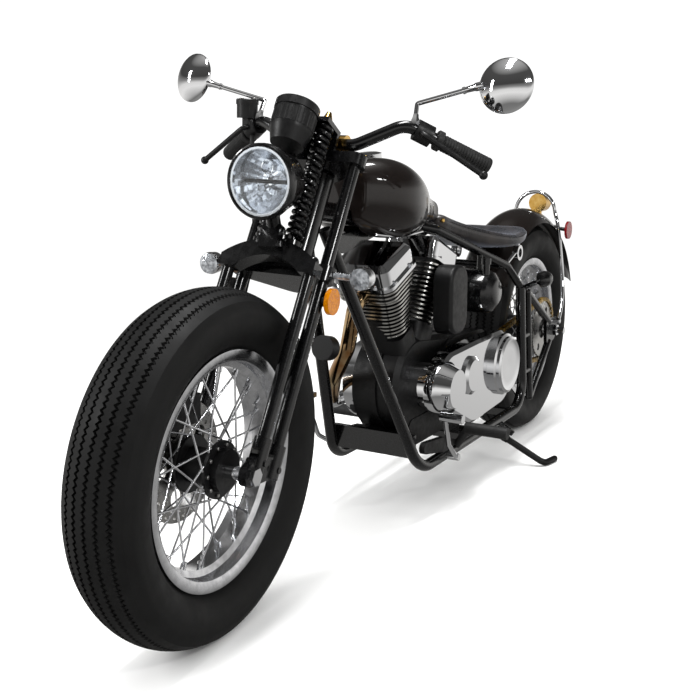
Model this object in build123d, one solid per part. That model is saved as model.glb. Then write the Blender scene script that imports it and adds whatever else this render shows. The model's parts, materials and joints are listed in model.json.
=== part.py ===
"""Springer-fork V-twin cruiser, parked on its side stand.

Everything is drawn in the upright bike frame: x forward from the rear axle, y to
the rider's left, z up from the ground, in mm. The fork is drawn straight ahead,
turned to the parked steering angle, and at the end the whole bike is leaned over.
"""
import os
from math import cos, pi, radians, sin, tan

from build123d import *

# chassis sizes
wheelbase = 1600
axle_z = 328
tyre_radius = 328
tyre_half = 67
rake = 30
axle_offset = 118.7
fork_drop = 465.8
lean = 6
parked_steer = 4.85
rail_y = 118
rail_z = 141
rail_front_x = 940
tube_r = 14

# wheels
lip_r = 221
seat_r = 205
rim_half = 47
spoke_count = 40
spoke_r = 2
axle_r = 10
bore_gap = 0.3
flange_r = 54

# springer fork, in the steering frame: u ahead of the axis, w up it
leg_y = 90
rear_leg_u = 44
front_leg_u = 101
pivot_w = -437
leg_r = 13
upper_tree_w = 190
lower_tree_w = -62
tree_t = 24
lower_tree_t = 30
spring_y = 32
spring_u = 98
lamp_foot_w = 14
spring_seat = -6
spring_top = 250
hanger_half = 46
stem_r = 15

# controls and lamps
bar_r = 12.7
lamp_u = 217
lamp_w = 60
lamp_r = 70
lens_r = 60

# engine: 45 degree V-twin
crank_x = 830
crank_z = 322
v_half = 22.5
clutch_x = 472
clutch_z = 312
case_half = 60
cover_in = 98
cover_out = 138
cover_edge = 8
nose_r = 64
nose_tip_r = 47
nose_end = 168
split_rib = 6
fin_count = 10
fin_pitch = 11
fin_start = 158
fin_t = 4
fin_low = (90, 116)
fin_step = (3, 3.6)
fin_corner = 38
head_start = 264
cover_start = 302
cover_top = 362
flange_size = (158, 164)

# drive
chain_y = 85
rear_sprocket_r = 90
front_sprocket_r = 45
front_sprocket_x = 480
roller_r = 5

# body
fender_rise = 48
fender_drop = 4
fender_half = 77
fender_from = 30
fender_to = 160
sheet = 3

# side stand
stand_pivot = (445, 142, 96)
stand_axis = (-0.3, 0.5, 0.81)
stand_r = 9
stand_heel = (439, 258)
stand_toe = (388, 270)

c, s = cos(radians(rake)), sin(radians(rake))
head_x = wheelbase - axle_offset * c - fork_drop * s
head_z = axle_z - axle_offset * s + fork_drop * c
steer_dir = (-s, 0, c)
steer_axis = Axis((head_x, 0, head_z), steer_dir)
fork_plane = Plane(origin=(head_x, 0, head_z), x_dir=(c, 0, s), z_dir=steer_dir)
front_axle_at = (wheelbase, 0, axle_z)
rear_axle_at = (0, 0, axle_z)


def fork(u, y, w):
    """Bike-frame point from steering-frame numbers."""
    return (head_x + u * c - w * s, y, head_z + u * s + w * c)


def tube(points, radius, bend, bore=0):
    """Round tube along straight runs joined by bends."""
    path = FilletPolyline(*points, radius=bend)
    start = Plane(origin=path @ 0, z_dir=path % 0)
    face = start * Circle(radius)
    if bore:
        face -= start * Circle(bore)
    return sweep(face, path=path)


def rod(a, b, radius, bore=0, tip=None):
    """Straight bar or sleeve from a to b, tapering to tip."""
    run = Vector(*b) - Vector(*a)
    start = Plane(origin=a, z_dir=run)
    if tip is not None:
        solid = start * Cone(radius, tip, run.length, align=(Align.CENTER, Align.CENTER, Align.MIN))
    else:
        solid = extrude(start * Circle(radius), run.length)
    if bore:
        solid -= extrude(start * Circle(bore), run.length)
    return solid


def across(x, z, y0, y1, radius, bore=0):
    """Bar along y."""
    return rod((x, y0, z), (x, y1, z), radius, bore)


def block(low, high):
    """Box between two corners."""
    size = [b - a for a, b in zip(low, high)]
    mid = [(a + b) / 2 for a, b in zip(low, high)]
    return Pos(*mid) * Box(*size)


def flip(shape):
    """The same piece on the other side of the bike."""
    return mirror(shape, about=Plane.XZ)


def turned(points, at):
    """Solid of revolution about a wheel axle from (y, r) points."""
    return Pos(*at) * revolve(Plane.YZ * make_face(Polyline(*points, close=True)), Axis.Y)


def hull_plate(plane, circles, low, high):
    """Plate round a few circles (x, y, radius) on a plane, from low to high along its normal."""
    edges = []
    for x, y, r in circles:
        edges += (Pos(x, y) * Circle(r)).edges()
    face = make_hull(edges)
    return extrude(plane * (Pos(0, 0, low) * face), high - low)


side_plane = Plane(origin=(0, 0, 0), x_dir=(1, 0, 0), z_dir=(0, -1, 0))


def side_plate(circles, y0, y1):
    """Plate round circles given as (x, z, radius), between two y faces."""
    return hull_plate(side_plane, circles, -y1, -y0)


nodes = {}


def keep(name, *shapes, steered=False):
    """Put a piece into its parked place under its node name."""
    solids = [solid for shape in shapes for solid in shape.solids()]
    if steered:
        solids = [solid.rotate(steer_axis, parked_steer) for solid in solids]
    nodes[name] = [solid.rotate(Axis.X, -lean) for solid in solids]


# tyres: a horseshoe section on the rim's seats
crown = tyre_radius
shoulder = (tyre_half - 6, crown - 20)
belly = (tyre_half, crown - 66)
bead = rim_half - 5.5
wall = 12


def tyre_face():
    out_low, out_high = (bead, seat_r + 0.5), (bead, lip_r + 1)
    in_low, in_high = (bead - wall, seat_r + 0.5), (bead - wall, lip_r - 2)
    in_belly, in_shoulder = (belly[0] - wall, belly[1]), (shoulder[0] - 10, shoulder[1] - 8)

    def left(p):
        return (-p[0], p[1])

    edges = [
        Line(out_low, out_high),
        ThreePointArc(out_high, belly, shoulder),
        ThreePointArc(shoulder, (0, crown), left(shoulder)),
        ThreePointArc(left(shoulder), left(belly), left(out_high)),
        Line(left(out_high), left(out_low)),
        Line(left(out_low), left(in_low)),
        Line(left(in_low), left(in_high)),
        ThreePointArc(left(in_high), left(in_belly), left(in_shoulder)),
        ThreePointArc(left(in_shoulder), (0, crown - 14), in_shoulder),
        ThreePointArc(in_shoulder, in_belly, in_high),
        Line(in_high, in_low),
        Line(in_low, out_low),
    ]
    return make_face(Curve() + edges)


tyre = revolve(Plane.YZ * tyre_face(), Axis.Y)

rim_points = [
    (-rim_half, lip_r), (-rim_half + 4, lip_r), (-rim_half + 5, seat_r), (-20, seat_r - 2),
    (-14, seat_r - 13), (14, seat_r - 13), (20, seat_r - 2), (rim_half - 5, seat_r),
    (rim_half - 4, lip_r), (rim_half, lip_r), (rim_half, seat_r + 3), (rim_half - 4, seat_r - 5),
    (22, seat_r - 8), (16, seat_r - 19), (-16, seat_r - 19), (-22, seat_r - 8),
    (-rim_half + 4, seat_r - 5), (-rim_half, seat_r + 3),
]


def laced_rim(at):
    """Rim with its laced spokes."""
    rim = revolve(Plane.YZ * make_face(Polyline(*rim_points, close=True)), Axis.Y)
    spokes = []
    for i in range(spoke_count):
        side = 1 if i % 2 else -1
        lead = 1 if i % 4 < 2 else -1
        a_rim = 2 * pi * i / spoke_count
        a_hub = a_rim + lead * radians(50)
        r_hub, r_rim = flange_r + spoke_r + 0.4, seat_r - 16
        inner = (r_hub * cos(a_hub), side * 31, r_hub * sin(a_hub))
        outer = (r_rim * cos(a_rim), side * 6, r_rim * sin(a_rim))
        spokes.append(rod(inner, outer, spoke_r))
    return Pos(*at) * (rim + spokes)


bore = axle_r + bore_gap
front_hub = [
    (-50, bore), (-50, 36), (-34, 36), (-34, flange_r), (-28, flange_r), (-28, 34),
    (28, 34), (28, flange_r), (34, flange_r), (34, 40), (48, 40), (48, bore),
]
rear_hub = [
    (-77, bore), (-77, 42), (-62, 42), (-58, 32), (-34, 32), (-34, flange_r), (-28, flange_r), (-28, 36),
    (28, 36), (28, flange_r), (34, flange_r), (34, 34), (60, 34), (64, 46), (82, 46), (82, bore),
]


def disc(at, y0, y1, radius):
    """Drilled brake disc."""
    plate = Circle(radius) - Circle(bore + 12)
    plate -= PolarLocations(radius - 48, 5) * Circle(17)
    plate -= PolarLocations(radius - 9, 24) * Circle(4)
    plate -= PolarLocations(radius - 22, 24, start_angle=7.5) * Circle(4)
    solid = extrude(side_plane * plate, y1 - y0)
    return Pos(at[0], y1, at[2]) * solid


keep("front_tyre", Pos(*front_axle_at) * tyre, steered=True)
keep("rear_tyre", Pos(*rear_axle_at) * tyre)
keep("front_rim", laced_rim(front_axle_at), steered=True)
keep("rear_rim", laced_rim(rear_axle_at))
keep("front_hub", turned(front_hub, front_axle_at), steered=True)
keep("rear_hub", turned(rear_hub, rear_axle_at))
keep("front_disc", disc(front_axle_at, -55, -50, 115), steered=True)
keep("rear_disc", disc(rear_axle_at, -82, -77, 120))

sprocket_face = Circle(rear_sprocket_r - 1.9) - Circle(30)
sprocket_face -= PolarLocations(rear_sprocket_r, 36) * Circle(roller_r - 0.5)
sprocket_face -= PolarLocations(62, 6) * Circle(11)
keep("rear_sprocket", Pos(0, chain_y + 3, axle_z) * extrude(side_plane * sprocket_face, 6))

# axles
ax, az = wheelbase, axle_z
front_axle = across(ax, az, -104, 104, axle_r)
front_axle += across(ax, az, 48.5, 82, 13) + across(ax, az, -82, -55.5, 13)
for y in (98, -110):
    front_axle += Pos(ax, y + 12, az) * extrude(side_plane * RegularPolygon(17, 6), 12)
keep("front_axle", front_axle, steered=True)

rear_axle = across(0, az, -140, 160, axle_r)
rear_axle += across(0, az, 88.6, 113, 15) + across(0, az, -113, -82.6, 15)
for y in (123, -138):
    rear_axle += Pos(0, y + 15, az) * extrude(side_plane * RegularPolygon(18, 6), 15)
keep("rear_axle", rear_axle)

# springer fork: rigid legs behind, spring legs ahead, rockers to the axle
tree = [(0, 0, 34), (rear_leg_u, leg_y, 22), (rear_leg_u, -leg_y, 22)]
rigid = hull_plate(fork_plane, tree, lower_tree_w, lower_tree_w + lower_tree_t)
rigid += hull_plate(fork_plane, tree, upper_tree_w, upper_tree_w + tree_t)
rigid += rod(fork(0, 0, lower_tree_w), fork(0, 0, upper_tree_w + tree_t + 10), stem_r)


def clevis_leg(u, y, top, radius):
    """Fork leg whose slotted foot takes the rocker's eye."""
    foot = pivot_w - 18
    leg = rod(fork(u, y, pivot_w + 30), fork(u, y, top), radius)
    leg += rod(fork(u, y, foot), fork(u, y, pivot_w + 45), radius + 5)
    leg -= fork_plane * (Pos(u, y, pivot_w + 2) * Box(50, 16.6, 44))
    leg -= across(wheelbase, axle_z, y - 30, y + 30, 19)
    hole = across(fork(u, y, pivot_w)[0], fork(u, y, pivot_w)[2], y - 30, y + 30, 6.1)
    return leg - hole


for side in (1, -1):
    rigid += clevis_leg(rear_leg_u, side * leg_y, upper_tree_w + 5, leg_r)
wall_u = rear_leg_u + 12
rigid += fork_plane * block((wall_u, -hanger_half, upper_tree_w + tree_t - 2), (wall_u + 10, hanger_half, spring_top + 10))
hanger = block((wall_u, -hanger_half, spring_top), (spring_u + 20, hanger_half, spring_top + 10))
for side in (1, -1):
    hanger -= Pos(spring_u, side * spring_y, spring_top) * Cylinder(6.2, 40)
rigid += fork_plane * hanger
keep("fork_rigid_legs", rigid, steered=True)

# arched yoke over the tyre, carried by the spring legs, with cups for the springs and a lamp block
yoke_end = leg_y + 15
yoke_face = make_face(
    Curve() + [
        Line((-yoke_end, -72), (-yoke_end, -48)),
        ThreePointArc((-yoke_end, -48), (0, -10), (yoke_end, -48)),
        Line((yoke_end, -48), (yoke_end, -72)),
        Line((yoke_end, -72), (leg_y - 18, -72)),
        ThreePointArc((leg_y - 18, -72), (0, -44), (18 - leg_y, -72)),
        Line((18 - leg_y, -72), (-yoke_end, -72)),
    ]
)
yoke_plane = Plane(origin=fork(front_leg_u - 17, 0, 0), x_dir=(0, 1, 0), z_dir=(c, 0, s))
sprung = extrude(yoke_plane * yoke_face, 34)
sprung += fork_plane * block((front_leg_u + 15, -20, -34), (front_leg_u + 34, 20, lamp_foot_w))
for side in (1, -1):
    y = side * spring_y
    sprung += clevis_leg(front_leg_u, side * leg_y, -44, leg_r - 1)
    sprung += Pos(*fork(front_leg_u, side * leg_y, -44)) * Sphere(leg_r - 1)
    sprung += rod(fork(spring_u, y, -34), fork(spring_u, y, spring_seat), 20)
    sprung += rod(fork(spring_u, y, spring_seat), fork(spring_u, y, spring_top + 14), 6)
    sprung += rod(fork(spring_u, y, spring_top + 10.2), fork(spring_u, y, spring_top + 30), 12, tip=5)
keep("fork_spring_legs", sprung, steered=True)

coils = 18
coil_low = spring_seat + 0.2
coil_pitch = (spring_top - 0.2 - coil_low) / coils
coil_points = [(7, 0)]
for i in range(coils):
    coil_points += [(15, i * coil_pitch), (18.5, (i + 0.5) * coil_pitch)]
coil_points += [(15, coils * coil_pitch), (7, coils * coil_pitch)]
coil = revolve(Plane.XZ * make_face(Polyline(*coil_points, close=True)), Axis.Z)
springs = [fork_plane * (Pos(spring_u, side * spring_y, coil_low) * coil) for side in (1, -1)]
keep("fork_springs", *springs, steered=True)

rocker = [
    (fork(rear_leg_u, 0, pivot_w)[0], fork(rear_leg_u, 0, pivot_w)[2], 15),
    (fork(front_leg_u, 0, pivot_w)[0], fork(front_leg_u, 0, pivot_w)[2], 15),
    (wheelbase, axle_z, 21),
]
arm = side_plate(rocker, leg_y - 8, leg_y + 8)
for x, z, r in rocker[:2]:
    arm += across(x, z, leg_y - 20, leg_y + 20, 6)
arm -= across(wheelbase, axle_z, 0, 200, axle_r + 0.05)
keep("fork_rockers", arm, flip(arm), steered=True)

caliper = block((wheelbase - 40, -86, axle_z + 70), (wheelbase + 62, -38, axle_z + 124))
caliper -= across(wheelbase, axle_z, -58, -47, 118)
caliper += block((wheelbase - 80, -98, axle_z + 84), (wheelbase - 38, -80, axle_z + 112))
caliper -= rod(fork(front_leg_u, -leg_y, pivot_w), fork(front_leg_u, -leg_y, 0), leg_r - 1)
caliper -= rod(fork(front_leg_u, -leg_y, pivot_w - 18), fork(front_leg_u, -leg_y, pivot_w + 45), leg_r + 4)
keep("front_caliper", caliper.solids().sort_by(SortBy.VOLUME)[-1], steered=True)

# headlamp
shell_points = [
    (0, 0), (lamp_r, 0), (lamp_r, -14), (lamp_r - 4, -30), (lamp_r - 14, -72), (lamp_r - 42, -106), (0, -113),
]
lamp_x, _, lamp_z = fork(lamp_u, 0, lamp_w)
lamp_turn = Axis((lamp_x, 0, lamp_z), (1, 0, 0))


def lamp_solid(points):
    """Turned about the headlamp's axis from (r, x from the bezel) points."""
    world = [(lamp_x + x, 0, lamp_z + r) for r, x in points]
    return revolve(make_face(Polyline(*world, close=True)), lamp_turn)


shell = lamp_solid(shell_points)
shell -= lamp_solid([(0, 5), (lens_r + 0.2, 5), (lens_r + 0.2, -12), (lens_r - 2, -12), (24, -78), (0, -78)])
foot_at = fork(front_leg_u + 26, 0, lamp_foot_w)
shell += rod(foot_at, (lamp_x - 46, 0, lamp_z - lamp_r + 10), 14) - sprung
shell = shell.solids().sort_by(SortBy.VOLUME)[-1]
keep("headlamp_shell", shell, steered=True)
lens = lamp_solid([(0, 2), (lens_r * 0.6, 0.5), (lens_r, -4), (lens_r, -11.8), (0, -11.8)])
keep("headlamp_lens", lens, steered=True)

# speedometer, standing along the steering axis over the headlamp
speedo_u = 156
speedo_y = -6
speedo = fork_plane * (Pos(speedo_u, speedo_y, 172) * Cone(34, 43, 30, align=(Align.CENTER, Align.CENTER, Align.MIN)))
speedo += rod(fork(speedo_u, speedo_y, 202), fork(speedo_u, speedo_y, 258), 43)
speedo -= rod(fork(speedo_u, speedo_y, 253), fork(speedo_u, speedo_y, 259), 39)
speedo += fork_plane * block((spring_u + 20, -10, 222), (speedo_u - 30, 10, spring_top + 8))
speedo -= fork_plane * block((spring_u - 60, -hanger_half, spring_top), (spring_u + 20, hanger_half, spring_top + 10))
keep("speedometer", speedo, steered=True)

# handlebar, brass risers, grips and hand controls
bar_mid = fork(29, 70, 247)
bar_top = fork(25, 168, 302)
bar_end = fork(-97, 313, 283)


def right(p):
    return (p[0], -p[1], p[2])


bar_path = [bar_end, bar_top, bar_mid, right(bar_mid), right(bar_top), right(bar_end)]
bar = tube(bar_path, bar_r, 50)
keep("handlebar", bar, steered=True)
riser = rod(fork(22, 40, upper_tree_w + tree_t), (bar_mid[0], 40, bar_mid[2]), 17, tip=12)
riser += across(bar_mid[0], bar_mid[2], 27, 53, 20)
riser -= across(bar_mid[0], bar_mid[2], 0, 60, bar_r)
riser -= rigid
riser = riser.solids().sort_by(SortBy.VOLUME)[-1]
keep("handlebar_risers", riser, flip(riser), steered=True)

grip_run = Vector(*bar_top) - Vector(*bar_end)
grip_dir = grip_run.normalized()


def along(distance, dx=0, dy=0, dz=0):
    """Point on the left grip's line, measured in from the bar end."""
    p = Vector(*bar_end) + grip_dir * distance
    return (p.X + dx, p.Y + dy, p.Z + dz)


grip = rod(along(-6), along(122), 17) - rod(along(0), along(122), bar_r + 0.02)
grip += rod(along(108), along(122), 21) - rod(along(108), along(122), bar_r + 0.02)
keep("grips", grip, flip(grip), steered=True)

left_control = rod(along(132), along(168), 22)
lever_end = along(4, 74, 22, -18)
lever = tube([along(150), along(146, 34, 6, 2), lever_end], 6, 14)
left_control += lever + Pos(*lever_end) * Sphere(9)
right_control = flip(left_control)
pot_x, pot_y, pot_z = right(along(138, 16, 6, 24))
right_control += Pos(pot_x, pot_y, pot_z) * Cylinder(23, 38, align=(Align.CENTER, Align.CENTER, Align.MIN))
right_control += block((pot_x - 22, pot_y - 8, pot_z - 22), (pot_x + 8, pot_y + 8, pot_z + 2))
bar_cut = tube([along(-20), bar_top, bar_mid], bar_r + 0.02, 50)
left_control -= bar_cut
right_control -= flip(bar_cut)
keep("hand_controls", left_control, right_control, steered=True)

mirror_r = 55
stalk_end = fork(37, 330, 384)
dish_points = [(0, 0), (mirror_r - 2, 0), (mirror_r, 3), (mirror_r - 3, 9), (mirror_r - 20, 20), (0, 28)]
dish = revolve(Plane.XZ * make_face(Polyline(*dish_points, close=True)), Axis.Z)


def round_mirror(mid, out):
    """Left mirror on its stalk: dish middle and how far its back looks outward."""
    stalk = tube([along(170, 0, 0, 14), fork(22, 180, 352), stalk_end], 5, 22)
    stalk += rod(stalk_end, mid, 5)
    return stalk + Pos(*mid) * Rot(0, 78, out) * dish


mirror_left = round_mirror(fork(34, 363, 388), 16) - left_control - bar_cut
mirror_right = flip(round_mirror(fork(36, 370, 396), 27)) - right_control - flip(bar_cut)
mirror_left = mirror_left.solids().sort_by(SortBy.VOLUME)[-1]
mirror_right = mirror_right.solids().sort_by(SortBy.VOLUME)[-1]
keep("mirrors", mirror_left, mirror_right, steered=True)

# front signals and side reflectors
signal_x, signal_y, signal_z = fork(36, 172, -41)
bullet_points = [(0, 25), (21, 21), (23, 14), (22, -4), (15, -20), (0, -27)]


def bullet(x, y, z, way):
    """Bullet lamp, lens towards way times x."""
    world = [(x + way * dx, y, z + r) for r, dx in bullet_points]
    return revolve(make_face(Polyline(*world, close=True)), Axis((x, y, z), (1, 0, 0)))


leg_line = rod(fork(rear_leg_u, leg_y, -300), fork(rear_leg_u, leg_y, 100), leg_r)
signal = bullet(signal_x, signal_y, signal_z, 1)
signal += rod((signal_x + 8, leg_y + 5, signal_z), (signal_x + 4, signal_y, signal_z), 7)
signal -= rigid
reflector_x, _, reflector_z = fork(33, 0, -95)
reflector = across(reflector_x, reflector_z, 111, 121, 26)
reflector += across(reflector_x + 8, reflector_z, leg_y + 5, 113, 10)
reflector -= leg_line
signal = signal.solids().sort_by(SortBy.VOLUME)[-1]
reflector = reflector.solids().sort_by(SortBy.VOLUME)[-1]
keep("front_signals", signal, flip(signal), steered=True)
keep("front_reflectors", reflector, flip(reflector), steered=True)

hose_start = Vector(*right(along(150))) + Vector(0.6, 0, -0.8) * 22
hose = tube(
    [
        (hose_start.X, hose_start.Y, hose_start.Z), fork(-11, -190, 226), fork(6, -122, 60), fork(6, -104, -10),
        fork(12, -94, -105), fork(21, -94, -240), fork(30, -117, -285), fork(137, -116, -347), fork(170, -108, -377),
        fork(170, -86, -377),
    ],
    5, 9,
)
hose -= right_control
hose = hose.solids().sort_by(SortBy.VOLUME)[-1]
keep("brake_hose", hose, steered=True)

# frame
head_tube = rod(fork(0, 0, lower_tree_w + lower_tree_t + 4), fork(0, 0, upper_tree_w - 4), 25)
spine_front = fork(0, 0, 110)
spine_rear = (690, 0, 694)
spine = head_tube + rod(spine_front, spine_rear, 22)
rail_points = [(735, 16, 700), (694, 40, 690), (370, 105, 569), (290, rail_y, 500)]
rail = tube(rail_points, 11, 30)
spine += rail + flip(rail)
spine -= rod(fork(0, 0, lower_tree_w), fork(0, 0, upper_tree_w), stem_r + 0.4)
spine += side_plate([(1148, 694, 10), (1090, 676, 10), (905, 712, 10)], -5, 5)
tank_pin = across(900, 723.5, -32, 32, 8)
spine += tank_pin
keep("frame_spine", spine)

cradle_points = [
    fork(-25, 24, 79), (rail_front_x, rail_y, rail_z), (245, rail_y, rail_z), (290, rail_y, 500),
]
cradle_left = tube(cradle_points, tube_r, [90, 70])
both_cradles = cradle_left
cradle_left = (cradle_left - spine).solids().sort_by(SortBy.VOLUME)[-1]
cradle_right = flip(cradle_left)
keep("frame_cradle_left", cradle_left)
keep("frame_cradle_right", cradle_right)

lug_dir = Vector(*stand_axis).normalized()
pivot = Vector(*stand_pivot)


def on_stand_axis(distance):
    p = pivot + lug_dir * distance
    return (p.X, p.Y, p.Z)


lug = rod(on_stand_axis(15), on_stand_axis(29), 14) + rod(on_stand_axis(-11), on_stand_axis(16), 6)
lug += rod(on_stand_axis(23), (pivot.X, rail_y, rail_z), 8)
members = [lug - both_cradles]
# cross members: corners of each, low and high
cross_bars = [
    ((940, -110, 172), (954, 110, 228)),
    ((560, -rail_y, rail_z - 8), (640, rail_y, rail_z + 8)),
    ((335, -rail_y, rail_z - 10), (357, rail_y, rail_z + 10)),
]
for low_corner, high_corner in cross_bars:
    member = block(low_corner, high_corner) - both_cradles - flip(both_cradles)
    members.append(member.solids().sort_by(SortBy.VOLUME)[-1])
seat_cross = across(370, 569, -105, 105, 10) - rail - flip(rail)
seat_cross = seat_cross.solids().sort_by(SortBy.VOLUME)[-1]

top_knot = (232, rail_y, 478)
low_knot = (185, rail_y, 152)
arm_left = rod(top_knot, low_knot, 11) + Pos(*top_knot) * Sphere(11.2) + Pos(*low_knot) * Sphere(11.2)
arm_left += rod(top_knot, (10, rail_y, 346), 11) + rod(low_knot, (10, rail_y, 310), 11)
arm_left += side_plate([(0, axle_z, 34), (40, 352, 20), (36, 308, 20), (-28, 352, 14)], 113, 123)
arm_left += rod((214, rail_y, 350), (275, rail_y, 350), 9) + rod((198, rail_y, 240), (262, rail_y, 240), 9)
arm_left -= across(0, axle_z, 100, 140, axle_r + 0.05)
arm_left -= both_cradles
arm_left -= across(0, axle_z, 123, 160, 40)
arm_left -= across(0, axle_z, 80, 113, 22)
arm_left = arm_left.solids().sort_by(SortBy.VOLUME)[-1]
keep("rear_swingarm", arm_left, flip(arm_left))

rear_caliper = block((40, -106, 352), (118, -60, 412))
rear_caliper -= across(0, axle_z, -85, -74, 123)
rear_caliper += block((18, -113, 345), (60, -100, 372))
rear_caliper -= flip(arm_left)
keep("rear_caliper", rear_caliper.solids().sort_by(SortBy.VOLUME)[-1])

# side stand: leg from its eye to a foot lying on the floor
floor_lift = tan(radians(lean))


def floor_point(x, y, height):
    """Point at a height above the floor of the leaned bike."""
    return (x, y, axle_z - tyre_radius + y * floor_lift + height / cos(radians(lean)))


heel = floor_point(*stand_heel, stand_r)
toe = floor_point(*stand_toe, stand_r)
stand = tube([stand_pivot, heel, toe], stand_r, 22)
stand += Pos(*toe) * Sphere(stand_r)
stand += rod(on_stand_axis(-9), on_stand_axis(9.5), 14)
stand -= rod(on_stand_axis(-30), on_stand_axis(30), 6.3)
keep("side_stand", stand)

# engine
case_circles = [(crank_x, crank_z, 118), (clutch_x + 58, clutch_z, 90)]
case = side_plate(case_circles, -case_half, case_half)
for face in (case.faces().sort_by(Axis.Y)[0], case.faces().sort_by(Axis.Y)[-1]):
    case = chamfer(face.edges(), 12)
case += side_plate([(x, z, r + 5) for x, z, r in case_circles], -split_rib, split_rib)
case += side_plate([(crank_x - 190, clutch_z, 95), (front_sprocket_x, clutch_z, 90)], -94, 70)
case += side_plate([(crank_x - 185, 316, 34), (crank_x - 230, 316, 34)], case_half, cover_in)
case += fillet(block((crank_x - 180, -62, 170), (crank_x + 50, 62, 240)).edges().filter_by(Axis.Y), 18)
case += block((crank_x - 265, -56, rail_z + 8), (crank_x - 195, 56, 240))
case += block((crank_x + 40, -45, 186), (rail_front_x, 45, 216))
case += across(front_sprocket_x, clutch_z, 70, chain_y + 3, 18)
case += across(front_sprocket_x, clutch_z, chain_y - 3, chain_y + 3, front_sprocket_r - 1.9)


def cylinder_plane(way):
    """Plane at the crank, normal up a cylinder."""
    a = radians(v_half) * way
    return Plane(origin=(crank_x, 0, crank_z), x_dir=(cos(a), 0, -sin(a)), z_dir=(sin(a), 0, cos(a)))


barrels, heads = [], []
for way in (1, -1):
    place = cylinder_plane(way)
    case += extrude(place * (Pos(0, 0, 60) * RectangleRounded(*fin_low, 20)), fin_start - 8 - 60)
for way in (1, -1):
    place = cylinder_plane(way)
    barrel = Pos(0, 0, fin_start - 8) * Cylinder(
        50, head_start - fin_start + 8, align=(Align.CENTER, Align.CENTER, Align.MIN)
    )
    for i in range(fin_count):
        fin = RectangleRounded(fin_low[0] + i * fin_step[0], fin_low[1] + i * fin_step[1], fin_corner)
        barrel += Pos(0, 0, fin_start + i * fin_pitch) * extrude(fin, fin_t)
    barrels.append(place * barrel)
    head = Pos(0, 0, head_start) * extrude(RectangleRounded(128, 140, 26), cover_start - head_start)
    cap = Pos(0, 0, cover_start) * extrude(RectangleRounded(146, 152, 22), cover_top - cover_start)
    cap = chamfer(cap.faces().sort_by(Axis.Z)[-1].edges(), 14)
    flange = Pos(0, 0, cover_start) * extrude(RectangleRounded(*flange_size, 26), 8)
    heads.append(place * (head + cap + flange))
keep("engine_crankcase", case)
keep("engine_cylinders", *barrels)
keep("engine_heads", *heads)

cover_circles = [(clutch_x + 8, clutch_z - 12, 104), (crank_x - 190, clutch_z - 15, 108), (crank_x - 40, crank_z + 8, 72)]
left_cover = side_plate(cover_circles, cover_in, cover_out)
left_cover = chamfer(left_cover.faces().sort_by(Axis.Y)[-1].edges(), cover_edge)
# round bosses on the cover, (y from its face, radius) from base to middle
clutch_boss = [(-4, 0), (-4, 84), (10, 84), (14, 77), (22, 77), (26, 70), (22, 58), (20, 0)]
point_boss = [(-4, 0), (-4, 50), (6, 50), (13, 40), (13, 0)]
for boss, at in ((clutch_boss, (clutch_x, cover_out, clutch_z)), (point_boss, (crank_x - 142, cover_out, crank_z + 3))):
    left_cover += turned(boss, at)
left_cover -= across(crank_x, crank_z, 0, 200, nose_r + 0.02)
left_cover = left_cover.solids().sort_by(SortBy.VOLUME)[-1]
keep("engine_left_cover", left_cover)
nose_points = [
    (case_half, 0), (case_half, 56), (100, 56), (104, nose_r), (128, nose_r), (nose_end, nose_tip_r), (nose_end, 0),
]
keep("engine_generator_cover", turned(nose_points, (crank_x, 0, crank_z)))
right_cover = side_plate([(crank_x, crank_z, 96), (crank_x - 130, crank_z - 22, 60)], -100, -case_half)
right_cover -= case
right_cover = right_cover.solids().sort_by(SortBy.VOLUME)[-1]
right_cover += turned([(-100, 0), (-100, 60), (-112, 40), (-118, 0)], (crank_x, 0, crank_z))
keep("engine_right_cover", right_cover)

box_mid = (crank_x - 83, crank_z + 203)
box_in = flange_size[1] / 2 + 0.3
box_out = 132
filter_box = Pos(box_mid[0], box_out, box_mid[1]) * extrude(side_plane * RectangleRounded(100, 170, 40), box_out - box_in)
filter_box = fillet(filter_box.faces().sort_by(Axis.Y)[-1].edges(), 10)
keep("air_box", filter_box)

# exhaust pipes down the right side
pipe_r = 18
port_w = (head_start + cover_start) / 2
port_front = cylinder_plane(1).from_local_coords((64, 0, port_w))
front_out = cylinder_plane(1).from_local_coords((106, 0, port_w))
port_rear = cylinder_plane(-1).from_local_coords((0, -70, port_w))
front_pipe = tube(
    [
        tuple(port_front), tuple(front_out), (crank_x + 198, -25, 440), (crank_x + 155, -88, 354),
        (crank_x + 75, -146, 268), (300, -178, 250),
    ],
    pipe_r, [28, 40, 50, 60],
)
front_pipe += rod((330, -178, 250), (-200, -182, 236), 38)
rear_pipe = tube(
    [tuple(port_rear), (port_rear.X, -150, port_rear.Z), (crank_x - 220, -166, 420), (crank_x - 310, -172, 340), (300, -180, 340)],
    pipe_r, [40, 40, 60],
)
rear_pipe += rod((330, -182, 340), (-200, -192, 334), 38)
keep("exhausts", front_pipe, rear_pipe)

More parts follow.
